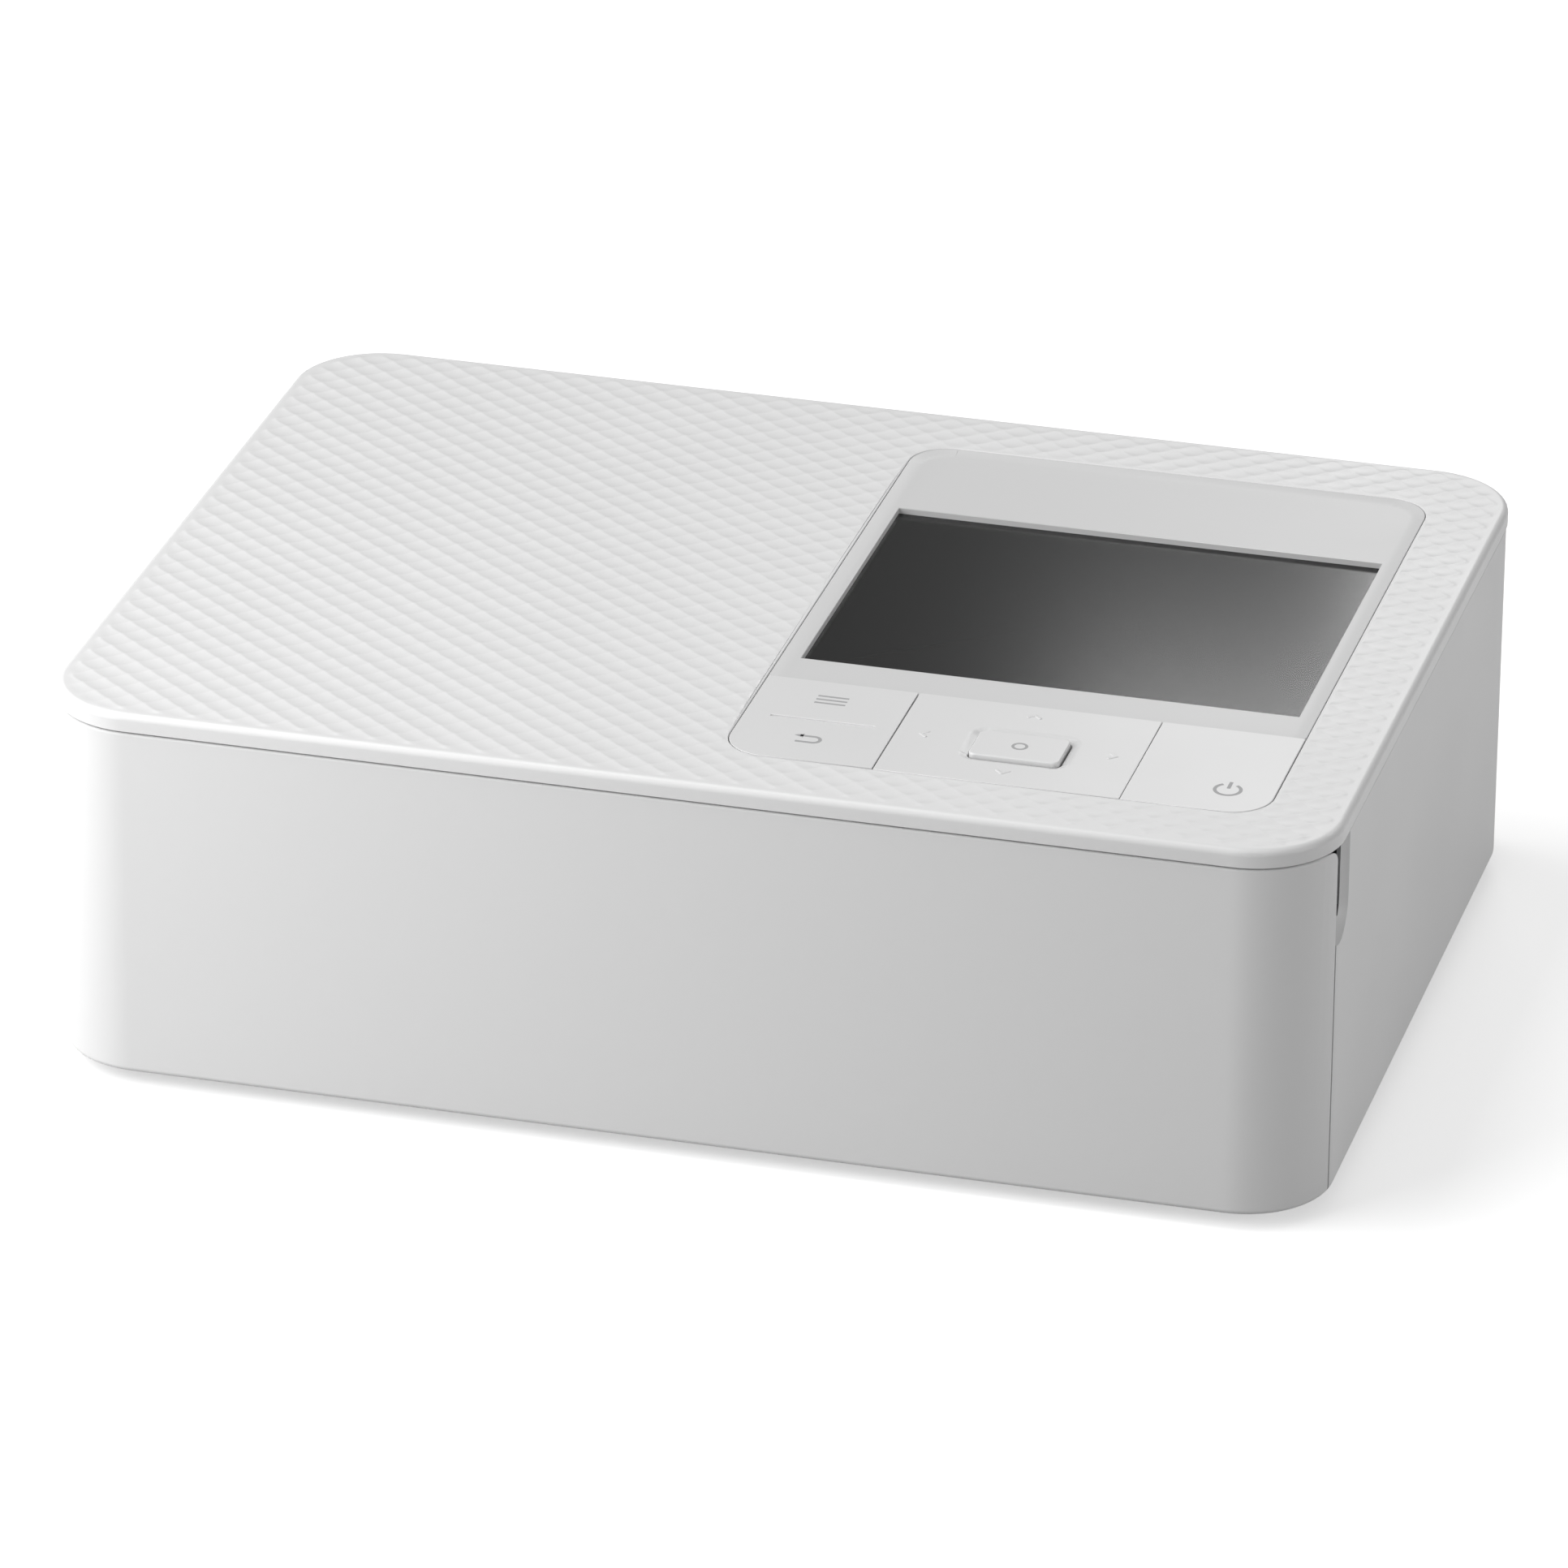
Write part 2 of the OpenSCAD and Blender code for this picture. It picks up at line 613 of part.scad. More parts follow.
// Left side, back and both rear corners in one moulding
module rear_housing() {
    vent_h = 16;
    vent_z = split_z - 24.6;
    rear_x0 = frame_x0 + rear_left;
    rear_x1 = frame_x1 - rear_right;
    color("gainsboro") difference() {
        union() {
            intersection() {
                case_wall();
                union() {
                    block(-half_w, 0, -side_y, half_d, 0, body_h);
                    block(-half_w, half_w, wrap_y, half_d, 0, body_h);
                }
            }
            for (b = case_bosses) boss_with_rib(b[0], b[1], b[2]);
        }
        for (b = case_bosses) rod_z(b[0], b[1], floor_z - 1, floor_z + screw_l, screw_r);
        // paper passes through the rear slot and back
        translate([0, half_d + 1, paper_z]) rotate([90, 0, 0])
            round_block(rear_x0, rear_x1, -rear_h / 2, rear_h / 2, 0, wall + 2, 1.2);
        for (i = [0 : 7])
            block(board_x0 + 10 + i * 3, board_x0 + 11.4 + i * 3, in_y - 1, half_d + 1,
                vent_z, vent_z + vent_h);
        translate([inlet_x, half_d + 1, inlet_z]) rotate([90, 0, 0])
            round_block(-4.7, 4.7, -3.7, 3.7, 0, wall + 2, 1);
        block(-half_w - 1, -in_x + 1, card_y - 12.3, card_y + 12.3, board_top + 0.3, board_top + 2.7);
        translate([-half_w - 1, usb_y, board_top + 1.7]) rotate([90, 0, 90])
            round_block(-4.6, 4.6, -1.65, 1.65, 0, wall + 3, 1.6);
    }
}

// Rounding of the top cover's outer edge
module cover_edge_waste() {
    translate([0, cover_top]) mirror([0, 1]) edge_waste(corner_r, 1);
}

module panel_outline(inset) {
    round_rect(panel_x0 + inset, panel_x1 - inset, panel_y0 + inset, panel_y1 - inset,
        panel_r - inset);
}

module top_cover() {
    skirt_t = 1.6;
    ledge_z = key_z0 - 0.7;
    color("white") difference() {
        union() {
            translate([0, 0, cover_under]) linear_extrude(cover_t) case_outline(0);
            translate([0, 0, cover_z0]) linear_extrude(cover_under - cover_z0 + 0.01) difference() {
                case_outline(0);
                case_outline(skirt_t);
            }
            translate([0, 0, carrier_z1]) linear_extrude(cover_under - carrier_z1 + 0.01)
                panel_outline(-2);
            for (b = cover_bosses) rod_z(b[0], b[1], frame_top, cover_under + 0.2, cover_boss_r);
        }
        swept(-half_w, half_w, -half_d, half_d, corner_r) cover_edge_waste();
        // the panel opening, with a ledge under the display's bezel and a lower one under the keys
        translate([0, 0, carrier_z1 - 1]) linear_extrude(body_h) panel_outline(ledge_w);
        intersection() {
            translate([0, 0, bezel_z0]) linear_extrude(body_h) panel_outline(0);
            block(-half_w, half_w, keys_y, half_d, 0, 2 * body_h);
        }
        intersection() {
            translate([0, 0, ledge_z]) linear_extrude(body_h) panel_outline(0);
            block(-half_w, half_w, -half_d, keys_y + 0.01, 0, 2 * body_h);
        }
        for (b = cover_bosses) rod_z(b[0], b[1], frame_top - 1, frame_top + 4, cover_screw_r);
    }
}

// Inner face behind the front cover, with the mouth of the paper slot
module front_fascia() {
    color("lightgray") difference() {
        block(-fascia_half, fascia_half, base_front, fascia_back, floor_z, cover_under);
        block(slot_x0, slot_x1, base_front - 1, fascia_back + 1, floor_z - 1, slot_z1);
        rod_x(slot_x0 - 2, slot_x1 + 2, [base_front + fascia_t / 2, slot_z1 - 1], key_pin_r + pin_fit);
        for (x = [front_lug_x, -front_lug_x - lug_t - 2 * lug_gap - ear_t])
            block(x, x + lug_t + 2 * lug_gap + ear_t, base_front - 1, fascia_back + 1,
                floor_z - 1, hinge_z + lug_r + 0.3);
        // the front cover's snaps press into these pockets
        for (x = [-snap_x, snap_x])
            block(x - 4, x + 4, base_front - 1, base_front + 1.2, snap_z - 1.7, snap_z + 1.8);
    }
}

// Inner face behind the ink door, with the mouth of the cassette bay
module side_fascia() {
    x0 = base_right - side_fascia_t;
    cheek_t = 1.2;
    cheek_out = 2.9;
    color("lightgray") difference() {
        union() {
            block(x0, base_right, fascia_back + 0.2, in_y - 5.1, floor_z, cover_under);
            // bearing cheeks of the eject lever
            for (y = [lever_y - cheek_out, lever_y + cheek_out - cheek_t])
                block(x0 - 5, x0 + 0.2, y, y + cheek_t, lever_z - 3, lever_z + 3);
        }
        block(x0 - 1, base_right + 1, cassette_y0 - bay_gap, cassette_y1 + bay_gap,
            cassette_z0 - bay_gap, cassette_z1 + bay_gap);
        block(x0 - 1, base_right + 1, lever_y - lever_t / 2 - 0.2, lever_y + lever_t / 2 + 0.2,
            lever_z - 2.5, lever_z + 13.5);
        rod_y(x0 - 2.5, lever_y - 6.5, lever_y + 6.5, lever_z, 1 + pin_fit);
        for (y = [side_lug_y, -side_lug_y - lug_t - 2 * lug_gap - ear_t])
            block(x0 - 1, base_right + 1, y, y + lug_t + 2 * lug_gap + ear_t,
                floor_z - 1, hinge_z + lug_r + 0.3);
    }
}

// ---------------------------------------------------------------- covers

// Hinge lug on a cover, before it is drilled for its pin; the wall lies at -Y
module hinge_lug() {
    rotate([0, 90, 0]) cylinder(h = lug_t, r = lug_r);
    translate([0, -hinge_in - 0.5, -lug_r]) cube([lug_t, hinge_in + 0.5, 2 * lug_r]);
}

module front_cover() {
    return_r = 2;
    arc_y = -wrap_y;
    reach = arc_y - front_hinge_y + 0.1;
    color("white") difference() {
        union() {
            intersection() {
                case_wall();
                block(-half_w, half_w, -half_d, arc_y, 0, body_h);
            }
            for (x = [front_lug_x, -front_lug_x - lug_t])
                translate([x, front_hinge_y, hinge_z]) hinge_lug();
            // snaps that hold the cover shut
            for (x = [-snap_x, snap_x])
                block(x - 3, x + 3, -in_y - 0.5, base_front - 0.6, snap_z - 0.8, snap_z + 0.8);
        }
        // the pins' bores run on into the wall, and pockets clear the base's ears
        for (x = [front_lug_x - lug_gap, -front_lug_x - lug_t - lug_gap])
            rod_x(x, x + lug_t + 2 * lug_gap, [front_hinge_y, hinge_z], pin_r + pin_fit);
        for (x = [front_lug_x + lug_t, -front_lug_x - lug_t - 2 * lug_gap - ear_t])
            translate([x, front_hinge_y, hinge_z]) rotate([0, 90, 0])
                cylinder(h = ear_t + 2 * lug_gap, r = ear_r + 0.4);
        // the returns are rounded above, and below they follow the swing
        translate([0, arc_y - return_r, wall_top - return_r]) difference() {
            block(-half_w, half_w, 0, return_r + 1, 0, return_r + 1);
            rod_x(-half_w - 1, half_w + 1, [0, 0], return_r);
        }
        difference() {
            block(-half_w, half_w, front_hinge_y, arc_y + 1, foot_h - 1, hinge_z);
            rod_x(-half_w - 1, half_w + 1, [front_hinge_y, hinge_z], reach);
        }
    }
}

module front_cover_hinge_pins() {
    color("silver") for (s = [-1, 1]) {
        a = s * (front_lug_x - 0.2);
        b = s * (front_lug_x + lug_t + lug_gap + ear_t);
        rod_x(min(a, b), max(a, b), [front_hinge_y, hinge_z], pin_r);
    }
}

// The whole right side: a hand's width of door over the ink cassette
module ink_door() {
    color("gainsboro") difference() {
        union() {
            intersection() {
                case_wall();
                block(half_w / 2, half_w, -side_y, side_y, 0, body_h);
            }
            for (y = [side_lug_y, -side_lug_y - lug_t])
                translate([side_hinge_x, y, hinge_z]) rotate([0, 0, 90])
                    hinge_lug();
        }
        for (y = [side_lug_y - lug_gap, -side_lug_y - lug_t - lug_gap])
            rod_y(side_hinge_x, y, y + lug_t + 2 * lug_gap, hinge_z, pin_r + pin_fit);
        for (y = [side_lug_y + lug_t, -side_lug_y - lug_t - 2 * lug_gap - ear_t])
            rod_y(side_hinge_x, y, y + ear_t + 2 * lug_gap, hinge_z, ear_r + 0.4);
        // finger notch beside the front cover
        translate([half_w + 2.85, -side_y + 1, notch_z]) {
            cylinder(h = body_h, r = notch_r);
            sphere(notch_r);
        }
        // the wall is thin beside the notch, so that a finger nail hooks behind it
        block(in_x - 1, half_w - lip - 1.1, -side_y - 1, -side_y + 8, notch_z - 2.6, body_h);
    }
}

module ink_door_hinge_pins() {
    color("silver") for (s = [-1, 1]) {
        a = s * (side_lug_y - 0.2);
        b = s * (side_lug_y + lug_t + lug_gap + ear_t);
        rod_y(side_hinge_x, min(a, b), max(a, b), hinge_z, pin_r);
    }
}

// Flap that closes the paper slot and swings inwards from its top edge
module slot_shutter() {
    c = [base_front + fascia_t / 2, slot_z1 - 1];
    color("silver") {
        block(slot_x0 + 0.4, slot_x1 - 0.4, c[0] - 0.5, c[0] + 0.5, floor_z + 0.5, c[1]);
        rod_x(slot_x0 + 0.4, slot_x1 - 0.4, c, 0.8);
        rod_x(slot_x0 - 1.4, slot_x1 + 1.4, c, key_pin_r);
    }
}

// Lever beside the cassette: pushing its tab in lets the cassette out
module eject_lever() {
    x0 = base_right - side_fascia_t;
    y0 = lever_y - lever_t / 2;
    color("gray") {
        block(x0 - 4, x0 - 1, y0, y0 + lever_t, lever_z - 1.2, lever_z + 11);
        block(x0 - 1.5, base_right + 2, y0, y0 + lever_t, lever_z + 5, lever_z + 11);
        rod_y(x0 - 2.5, lever_y - 2.9, lever_y + 2.9, lever_z, 1);
    }
}

// ---------------------------------------------------------------- display

module display_bezel() {
    g = 0.1;
    color("lightgray") difference() {
        intersection() {
            translate([0, 0, bezel_z0]) linear_extrude(cover_top - bezel_z0) panel_outline(g);
            block(-half_w, half_w, keys_y + g, half_d, 0, body_h);
        }
        // the face is sunk inside a sloped rim
        translate([0, 0, bezel_z1]) linear_extrude(2) panel_outline(rim_w);
        swept(panel_x0, panel_x1, panel_y0, panel_y1, panel_r)
            polygon([[panel_r - rim_w - 0.1, bezel_z1], [panel_r - rim_w, bezel_z1],
                     [panel_r, cover_top], [panel_r, cover_top + 1],
                     [panel_r - rim_w - 0.1, cover_top + 1]]);
        block(lcd_x0, lcd_x0 + lcd_w, lcd_y, lcd_y + lcd_h, bezel_z0 - 1, cover_top);
    }
}

module display_window() {
    color("slategray", 0.6)
        block(lcd_x0 - window_lap, lcd_x0 + lcd_w + window_lap, lcd_y - window_lap,
            lcd_y + lcd_h + window_lap, bezel_z0 - window_t, bezel_z0);
}

module lcd_module() {
    z1 = bezel_z0 - window_t;
    color("dimgray") {
        block(lcd_x0 - window_lap, lcd_x0 + lcd_w + window_lap, lcd_y - window_lap - 1.2,
            lcd_y + lcd_h + window_lap + 1.2, z1 - lcd_t, z1);
        // flat tail that runs under the key board
        block(nav_x - 8, nav_x + 8, keys_y + 2, lcd_y, dome_z0 - board_t - 0.3, z1 - lcd_t + 0.1);
        block(nav_x - 8, nav_x + 8, key_axis_y, keys_y + 2.1, dome_z0 - board_t - 0.3,
            dome_z0 - board_t);
    }
}

// ---------------------------------------------------------------- keys

module key_hole(x0, x1, y0, y1) {
    block(x0, x1, y0, y1, carrier_z0 - 1, carrier_z1 + 1);
}

// Post with a bore for a key's pivot along X
module key_post(x0, x1) {
    difference() {
        block(x0, x1, key_axis_y - 1.4, key_axis_y + 1.4, carrier_z0, key_z0 - 0.5);
        rod_x(x0 - 1, x1 + 1, [key_axis_y, key_axis_z], key_pin_r + pin_fit);
    }
}

module key_carrier() {
    y0 = panel_y0 - 1.75;
    y1 = keys_y + 1.25;
    w0 = panel_y0 - 0.05;
    w1 = keys_y - 0.15;
    posts = [[menu_x - 8.3, menu_x - 6.6], [menu_x + 6.9, menu_x + 8.7],
             [key_x1 + 1.5, nav_x - 12.65], [nav_x + 12.65, key_x2 - 1.5]];
    color("darkgray") {
        difference() {
            block(panel_x0 - 1.75, panel_x1 + 1.75, y0, y1, carrier_z0, carrier_z1);
            key_hole(menu_x - 6.6, menu_x + 6.9, w0, w1);
            key_hole(key_x1 + 1.5, key_x2 - 1.5, w0, w1);
            key_hole(key_x2 + 1, panel_x1 - 1.25, w0, w1);
            for (p = posts) rod_x(p[0] - 1, p[1] + 1, [key_axis_y, key_axis_z], key_pin_r + pin_fit);
        }
        for (p = posts) key_post(p[0], p[1]);
        for (x = [panel_x0 + 1.5, panel_x1 - 1.2], y = [y0 + 1.6, y1 - 0.8])
            block(x - 0.7, x + 0.7, y - 0.7, y + 0.7, dome_z0, carrier_z0 + 0.1);
    }
}

// A key's plate, between two seams of the panel's front part
module key_plate(x0, x1) {
    g = key_gap;
    intersection() {
        translate([0, 0, key_z0]) linear_extrude(key_t) panel_outline(g);
        block(x0, x1, -half_d, keys_y - g, 0, body_h);
    }
}

module menu_back_key() {
    color("white") {
        difference() {
            key_plate(panel_x0, key_x1 - key_gap);
            block(panel_x0 + 3.85, key_x1 - 3.1, key_axis_y, key_axis_y + 0.5,
                cover_top - 0.25, cover_top + 1);
        }
        for (y = [-menu_reach, menu_reach])
            rod_z(menu_x, key_axis_y + y, plunger_z0, key_z0 + 0.1, 1.5);
        for (x = [menu_x - 6.3, menu_x + 5.1]) {
            block(x, x + 1.5, key_axis_y - 1, key_axis_y + 1, carrier_z0 + 0.1, key_z0 + 0.1);
        }
        rod_x(menu_x - 8.1, menu_x - 6.2, [key_axis_y, key_axis_z], key_pin_r);
        rod_x(menu_x + 6.5, menu_x + 8.5, [key_axis_y, key_axis_z], key_pin_r);
    }
}

// Ring that lets the centre plate tilt both ways: it turns on X and carries the plate on Y
module nav_tilt_ring() {
    hx = 12.35;
    hy = 8.9;
    ring_w = 2;
    z0 = key_axis_z - 0.5;
    color("darkgray") {
        difference() {
            block(nav_x - hx, nav_x + hx, key_axis_y - hy, key_axis_y + hy, z0, z0 + 1.2);
            block(nav_x - hx + ring_w, nav_x + hx - ring_w, key_axis_y - hy + ring_w,
                key_axis_y + hy - ring_w, z0 - 1, z0 + 2);
        }
        for (s = [-1, 1]) {
            a = nav_x + s * (hx - 0.5);
            b = nav_x + s * (hx + 2);
            rod_x(min(a, b), max(a, b), [key_axis_y, key_axis_z], key_pin_r);
            c = key_axis_y + s * (hy - 0.5);
            d = key_axis_y + s * (hy + 1.4);
            rod_y(nav_x, min(c, d), max(c, d), key_axis_z, key_pin_r);
        }
    }
}

module nav_key() {
    hole_x = ok_w / 2 + ok_gap;
    hole_y = ok_d / 2 + ok_gap;
    dish_r = ok_r + ok_gap + dish_w;
    color("white") {
        difference() {
            key_plate(key_x1 + key_gap / 3, key_x2 - key_gap / 3);
            round_block(ok_x - hole_x, ok_x + hole_x, ok_y - hole_y, ok_y + hole_y,
                0, 2 * body_h, ok_r + ok_gap);
            // a slope leads down to the centre key
            swept(ok_x - hole_x - dish_w, ok_x + hole_x + dish_w,
                ok_y - hole_y - dish_w, ok_y + hole_y + dish_w, dish_r)
                polygon([[dish_r - dish_w - 0.1, cover_top - dish_t],
                         [dish_r - dish_w, cover_top - dish_t], [dish_r, cover_top],
                         [dish_r, cover_top + 1], [dish_r - dish_w - 0.1, cover_top + 1]]);
        }
        for (i = [2 : 5])
            rod_z(domes[i][0], domes[i][1], plunger_z0, key_z0 + 0.1, 0.7);
        for (s = [-1, 1]) difference() {
            c = key_axis_y + s * 9.7;
            block(nav_x - 1.5, nav_x + 1.5, c - 0.5, c + 0.5, carrier_z0 + 0.1, key_z0 + 0.1);
            rod_y(nav_x, c - 2, c + 2, key_axis_z, key_pin_r + pin_fit);
        }
    }
}

module ok_key() {
    color("white") {
        round_block(ok_x - ok_w / 2, ok_x + ok_w / 2, ok_y - ok_d / 2, ok_y + ok_d / 2,
            key_z0 - 0.5, body_h, ok_r);
        rod_z(ok_x, ok_y, plunger_z0, key_z0, 2);
    }
}

module power_key() {
    color("white") {
        key_plate(key_x2 + key_gap / 3, panel_x1);
        rod_z(power_x, key_axis_y, plunger_z0, key_z0 + 0.1, 2);
    }
}

module key_board() {
    color("darkgreen")
        block(panel_x0 + 0.5, panel_x1 - 0.5, panel_y0 - 1, keys_y + 0.85,
            dome_z0 - board_t, dome_z0);
}

module key_domes() {
    color("goldenrod") for (d = domes) rod_z(d[0], d[1], dome_z0, dome_z0 + dome_h, dome_r);
}

// ---------------------------------------------------------------- frames

module left_frame() {
    color("silver") difference() {
        union() {
            block(frame_out0, frame_x0, frame_y0, frame_y1, floor_z, frame_top);
            block(frame_out0 - flange_w + frame_t, frame_out0 + 0.2, frame_y0, frame_y1,
                frame_top - flange_t, frame_top);
            block(frame_x0 - 0.2, frame_x0 + flange_w, platen_y + 8, frame_y1, floor_z, floor_z + flange_t);
            // stub that carries the idler
            rod_x(shaft_end, frame_x0, idler_c, shaft_r);
            // stub that carries the supply spool
            rod_x(frame_out0, tube_x0 + 6, [supply_y, spool_z], spindle_r - 0.2);
        }
        rod_x(frame_out0 - 1, frame_x0 + 1, [platen_y, platen_z], bush_r);
        rod_x(frame_out0 - 1, frame_x0 + 1, grip_c, bush_r);
        rod_x(frame_out0 - 1, frame_x0 + 1, pick_c, bush_r);
        rod_x(frame_out0 - 1, frame_x0 + 1, [grip_y, pinch_z], pinch_shaft_r + run_fit);
        rod_x(frame_out0 - 1, frame_x0 + 1, takeup_c, spindle_r + 0.4 + run_fit);
        rod_x(frame_out0 - 1, frame_x0 + 1, [arm_y, arm_z], arm_shaft_r);
        for (t = tie_places) rod_x(frame_out0 - 1, frame_x0 + 1, t, tie_r - 0.5);
        for (i = [0, 1])
            rod_z(cover_bosses[i][0], cover_bosses[i][1], frame_top - 2, frame_top + 1, cover_screw_r);
        for (i = [0, 1]) rod_z(foot_screws[i][0], foot_screws[i][1], floor_z - 1, floor_z + 2, screw_r);
    }
}

module right_frame() {
    color("silver") difference() {
        union() {
            block(frame_x1, frame_out1, frame_y0, frame_y1, floor_z, frame_top);
            block(frame_out1 - 0.2, base_right - side_fascia_t - 0.1, frame_y0, frame_y1,
                frame_top - flange_t, frame_top);
            block(frame_out1 - 0.2, frame_out1 + flange_w, frame_y0, frame_y1,
                floor_z, floor_z + flange_t);
        }
        block(frame_x1 - 1, frame_out1 + 1, cassette_y0 - bay_gap, cassette_y1 + bay_gap,
            cassette_z0 - bay_gap, cassette_z1 + bay_gap);
        rod_x(frame_x1 - 1, frame_out1 + 1, [platen_y, platen_z], bush_r);
        rod_x(frame_x1 - 1, frame_out1 + 1, grip_c, bush_r);
        rod_x(frame_x1 - 1, frame_out1 + 1, pick_c, bush_r);
        rod_x(frame_x1 - 1, frame_out1 + 1, [grip_y, pinch_z], pinch_shaft_r + run_fit);
        rod_x(frame_x1 - 1, frame_out1 + 1, [arm_y, arm_z], arm_shaft_r);
        for (t = tie_places) rod_x(frame_x1 - 1, frame_out1 + 1, t, tie_r - 0.5);
        for (i = [2, 3])
            rod_z(cover_bosses[i][0], cover_bosses[i][1], frame_top - 2, frame_top + 1, cover_screw_r);
        for (i = [2, 3]) rod_z(foot_screws[i][0], foot_screws[i][1], floor_z - 1, floor_z + 2, screw_r);
        // relief under the sockets of the side
        block(frame_out1, frame_out1 + flange_w + 1, cassette_y0, cassette_y1, floor_z - 1, floor_z + 2);
    }
}

module tie_bars() {
    color("silver") for (t = tie_places) {
        rod_x(frame_x0, frame_x1, t, tie_r);
        rod_x(frame_out0, frame_out1, t, tie_r - 0.5);
    }
}

// Sheet over the paper bay, with windows for the pick-up tyres
module paper_deck() {
    color("gray") difference() {
        block(frame_x0, frame_x1, fascia_back, arm_front + 1.8, deck_z, deck_z + deck_t);
        for (x = tyre_x)
            block(x - tyre_w / 2 - 1, x + tyre_w / 2 + 1, pick_y - pick_r - 1, pick_y + pick_r + 1,
                deck_z - 1, deck_z + deck_t + 1);
        // notches round the pick-up roller's bushes
        for (x = [frame_x0, frame_x1 - 2])
            block(x - 0.1, x + 2.1, pick_y - bush_flange_r - 0.6, pick_y + bush_flange_r + 0.6,
                deck_z - 1, deck_z + deck_t + 1);
    }
}

module motor_plate() {
    color("silver") difference() {
        union() {
            block(plate_x0, plate_x1, plate_y0, frame_y1, floor_z, frame_top - flange_t - 2);
            block(plate_x1 - 0.2, plate_x1 + 6, plate_y0, plate_y0 + 52, floor_z, floor_z + flange_t);
            for (c = [[platen_y + 10, spool_z + 8.5], [platen_y + 6, floor_z + 7.6],
                      [platen_y + 30, spool_z + 8.5]])
                rod_x(plate_x1 - 0.2, frame_out0, c, 2);
        }
        rod_x(plate_x0 - 1, plate_x1 + 1, ribbon_motor_c, motor_shaft_r + 0.6);
        rod_x(plate_x0 - 1, plate_x1 + 1, feed_motor_c, motor_shaft_r + 0.6);
        for (i = [4, 5]) rod_z(foot_screws[i][0], foot_screws[i][1], floor_z - 1, floor_z + 2, screw_r);
    }
}

// Flanged bushes, pressed into the frames from inside
module roller_bushes() {
    color("tan") for (b = [[[platen_y, platen_z], shaft_r], [grip_c, journal_r], [pick_c, shaft_r]]) {
        difference() {
            union() {
                rod_x(frame_out0, frame_x0, b[0], bush_r);
                rod_x(frame_x0, frame_x0 + bush_flange_t, b[0], bush_flange_r);
            }
            rod_x(frame_out0 - 1, frame_x0 + 2, b[0], b[1] + run_fit);
        }
        difference() {
            union() {
                rod_x(frame_x1, frame_out1, b[0], bush_r);
                rod_x(frame_x1 - bush_flange_t, frame_x1, b[0], bush_flange_r);
            }
            rod_x(frame_x1 - 2, frame_out1 + 1, b[0], b[1] + run_fit);
        }
    }
}

// ---------------------------------------------------------------- rollers and gears

module platen_shaft() {
    color("silver") rod_x(frame_out0 - shaft_out, frame_out1 + shaft_out, [platen_y, platen_z], shaft_r);
}

module platen_sleeve() {
    color("dimgray") difference() {
        rod_x(roller_x0, roller_x1, [platen_y, platen_z], platen_r);
        rod_x(roller_x0 - 1, roller_x1 + 1, [platen_y, platen_z], shaft_r);
    }
}

module grip_roller() {
    color("silver") {
        rod_x(roller_x0, roller_x1, grip_c, grip_r);
        rod_x(shaft_end, frame_out1 + shaft_out, grip_c, journal_r);
    }
}

module grip_gear() {
    color("ivory") spur_gear(gear_x0, gear_x1, grip_c, feed_m, grip_teeth, grip_phase, journal_r);
}

module pinch_roller() {
    color("silver") {
        rod_x(roller_x0, roller_x1, [grip_y, pinch_z], pinch_r);
        rod_x(frame_out0 - 1, frame_out1 + 1, [grip_y, pinch_z], pinch_shaft_r);
    }
}

module pickup_shaft() {
    color("silver") rod_x(shaft_end, frame_out1 + shaft_out, pick_c, shaft_r);
}

module pickup_tyres() {
    color("dimgray") for (x = tyre_x) difference() {
        rod_x(x - tyre_w / 2, x + tyre_w / 2, pick_c, pick_r);
        rod_x(x - tyre_w, x + tyre_w, pick_c, shaft_r);
    }
}

module pickup_gear() {
    color("ivory") spur_gear(gear_x0, gear_x1, pick_c, ribbon_m, pick_teeth, pick_phase, shaft_r);
}

module idler_gear() {
    color("ivory")
        spur_gear(gear_x0, gear_x1, idler_c, ribbon_m, idler_teeth, idler_phase, shaft_r + run_fit);
}

// Take-up gear with its spindle: a journal in the left frame and a hexagon in the spool
module takeup_gear() {
    color("ivory") {
        spur_gear(gear_x0, gear_x1, takeup_c, ribbon_m, takeup_teeth, takeup_phase, 1);
        rod_x(gear_x0, tube_x0 - 1.5, takeup_c, spindle_r + 0.4);
        translate([tube_x0 - 1.6, takeup_c[0], takeup_c[1]]) rotate([0, 90, 0])
            cylinder(h = 8, r = spindle_r, $fn = 6);
    }
}

module motor(c, r) {
    difference() {
        rod_x(plate_x0 - motor_l, plate_x0, c, r);
        rod_x(plate_x0 - 6, plate_x0 + 1, c, motor_shaft_r + pin_fit);
    }
}

module pinion(c, m, phase) {
    spur_gear(gear_x0, gear_x1, c, m, pinion_teeth, phase, motor_shaft_r);
    rod_x(plate_x0 - 5, gear_x1 + 0.3, c, motor_shaft_r);
}

module ribbon_motor() {
    color("dimgray") motor(ribbon_motor_c, ribbon_motor_r);
}

module ribbon_pinion() {
    color("gold") pinion(ribbon_motor_c, ribbon_m, ribbon_pinion_phase);
}

module feed_motor() {
    color("dimgray") motor(feed_motor_c, feed_motor_r);
}

module feed_pinion() {
    color("gold") pinion(feed_motor_c, feed_m, feed_pinion_phase);
}

// ---------------------------------------------------------------- print head

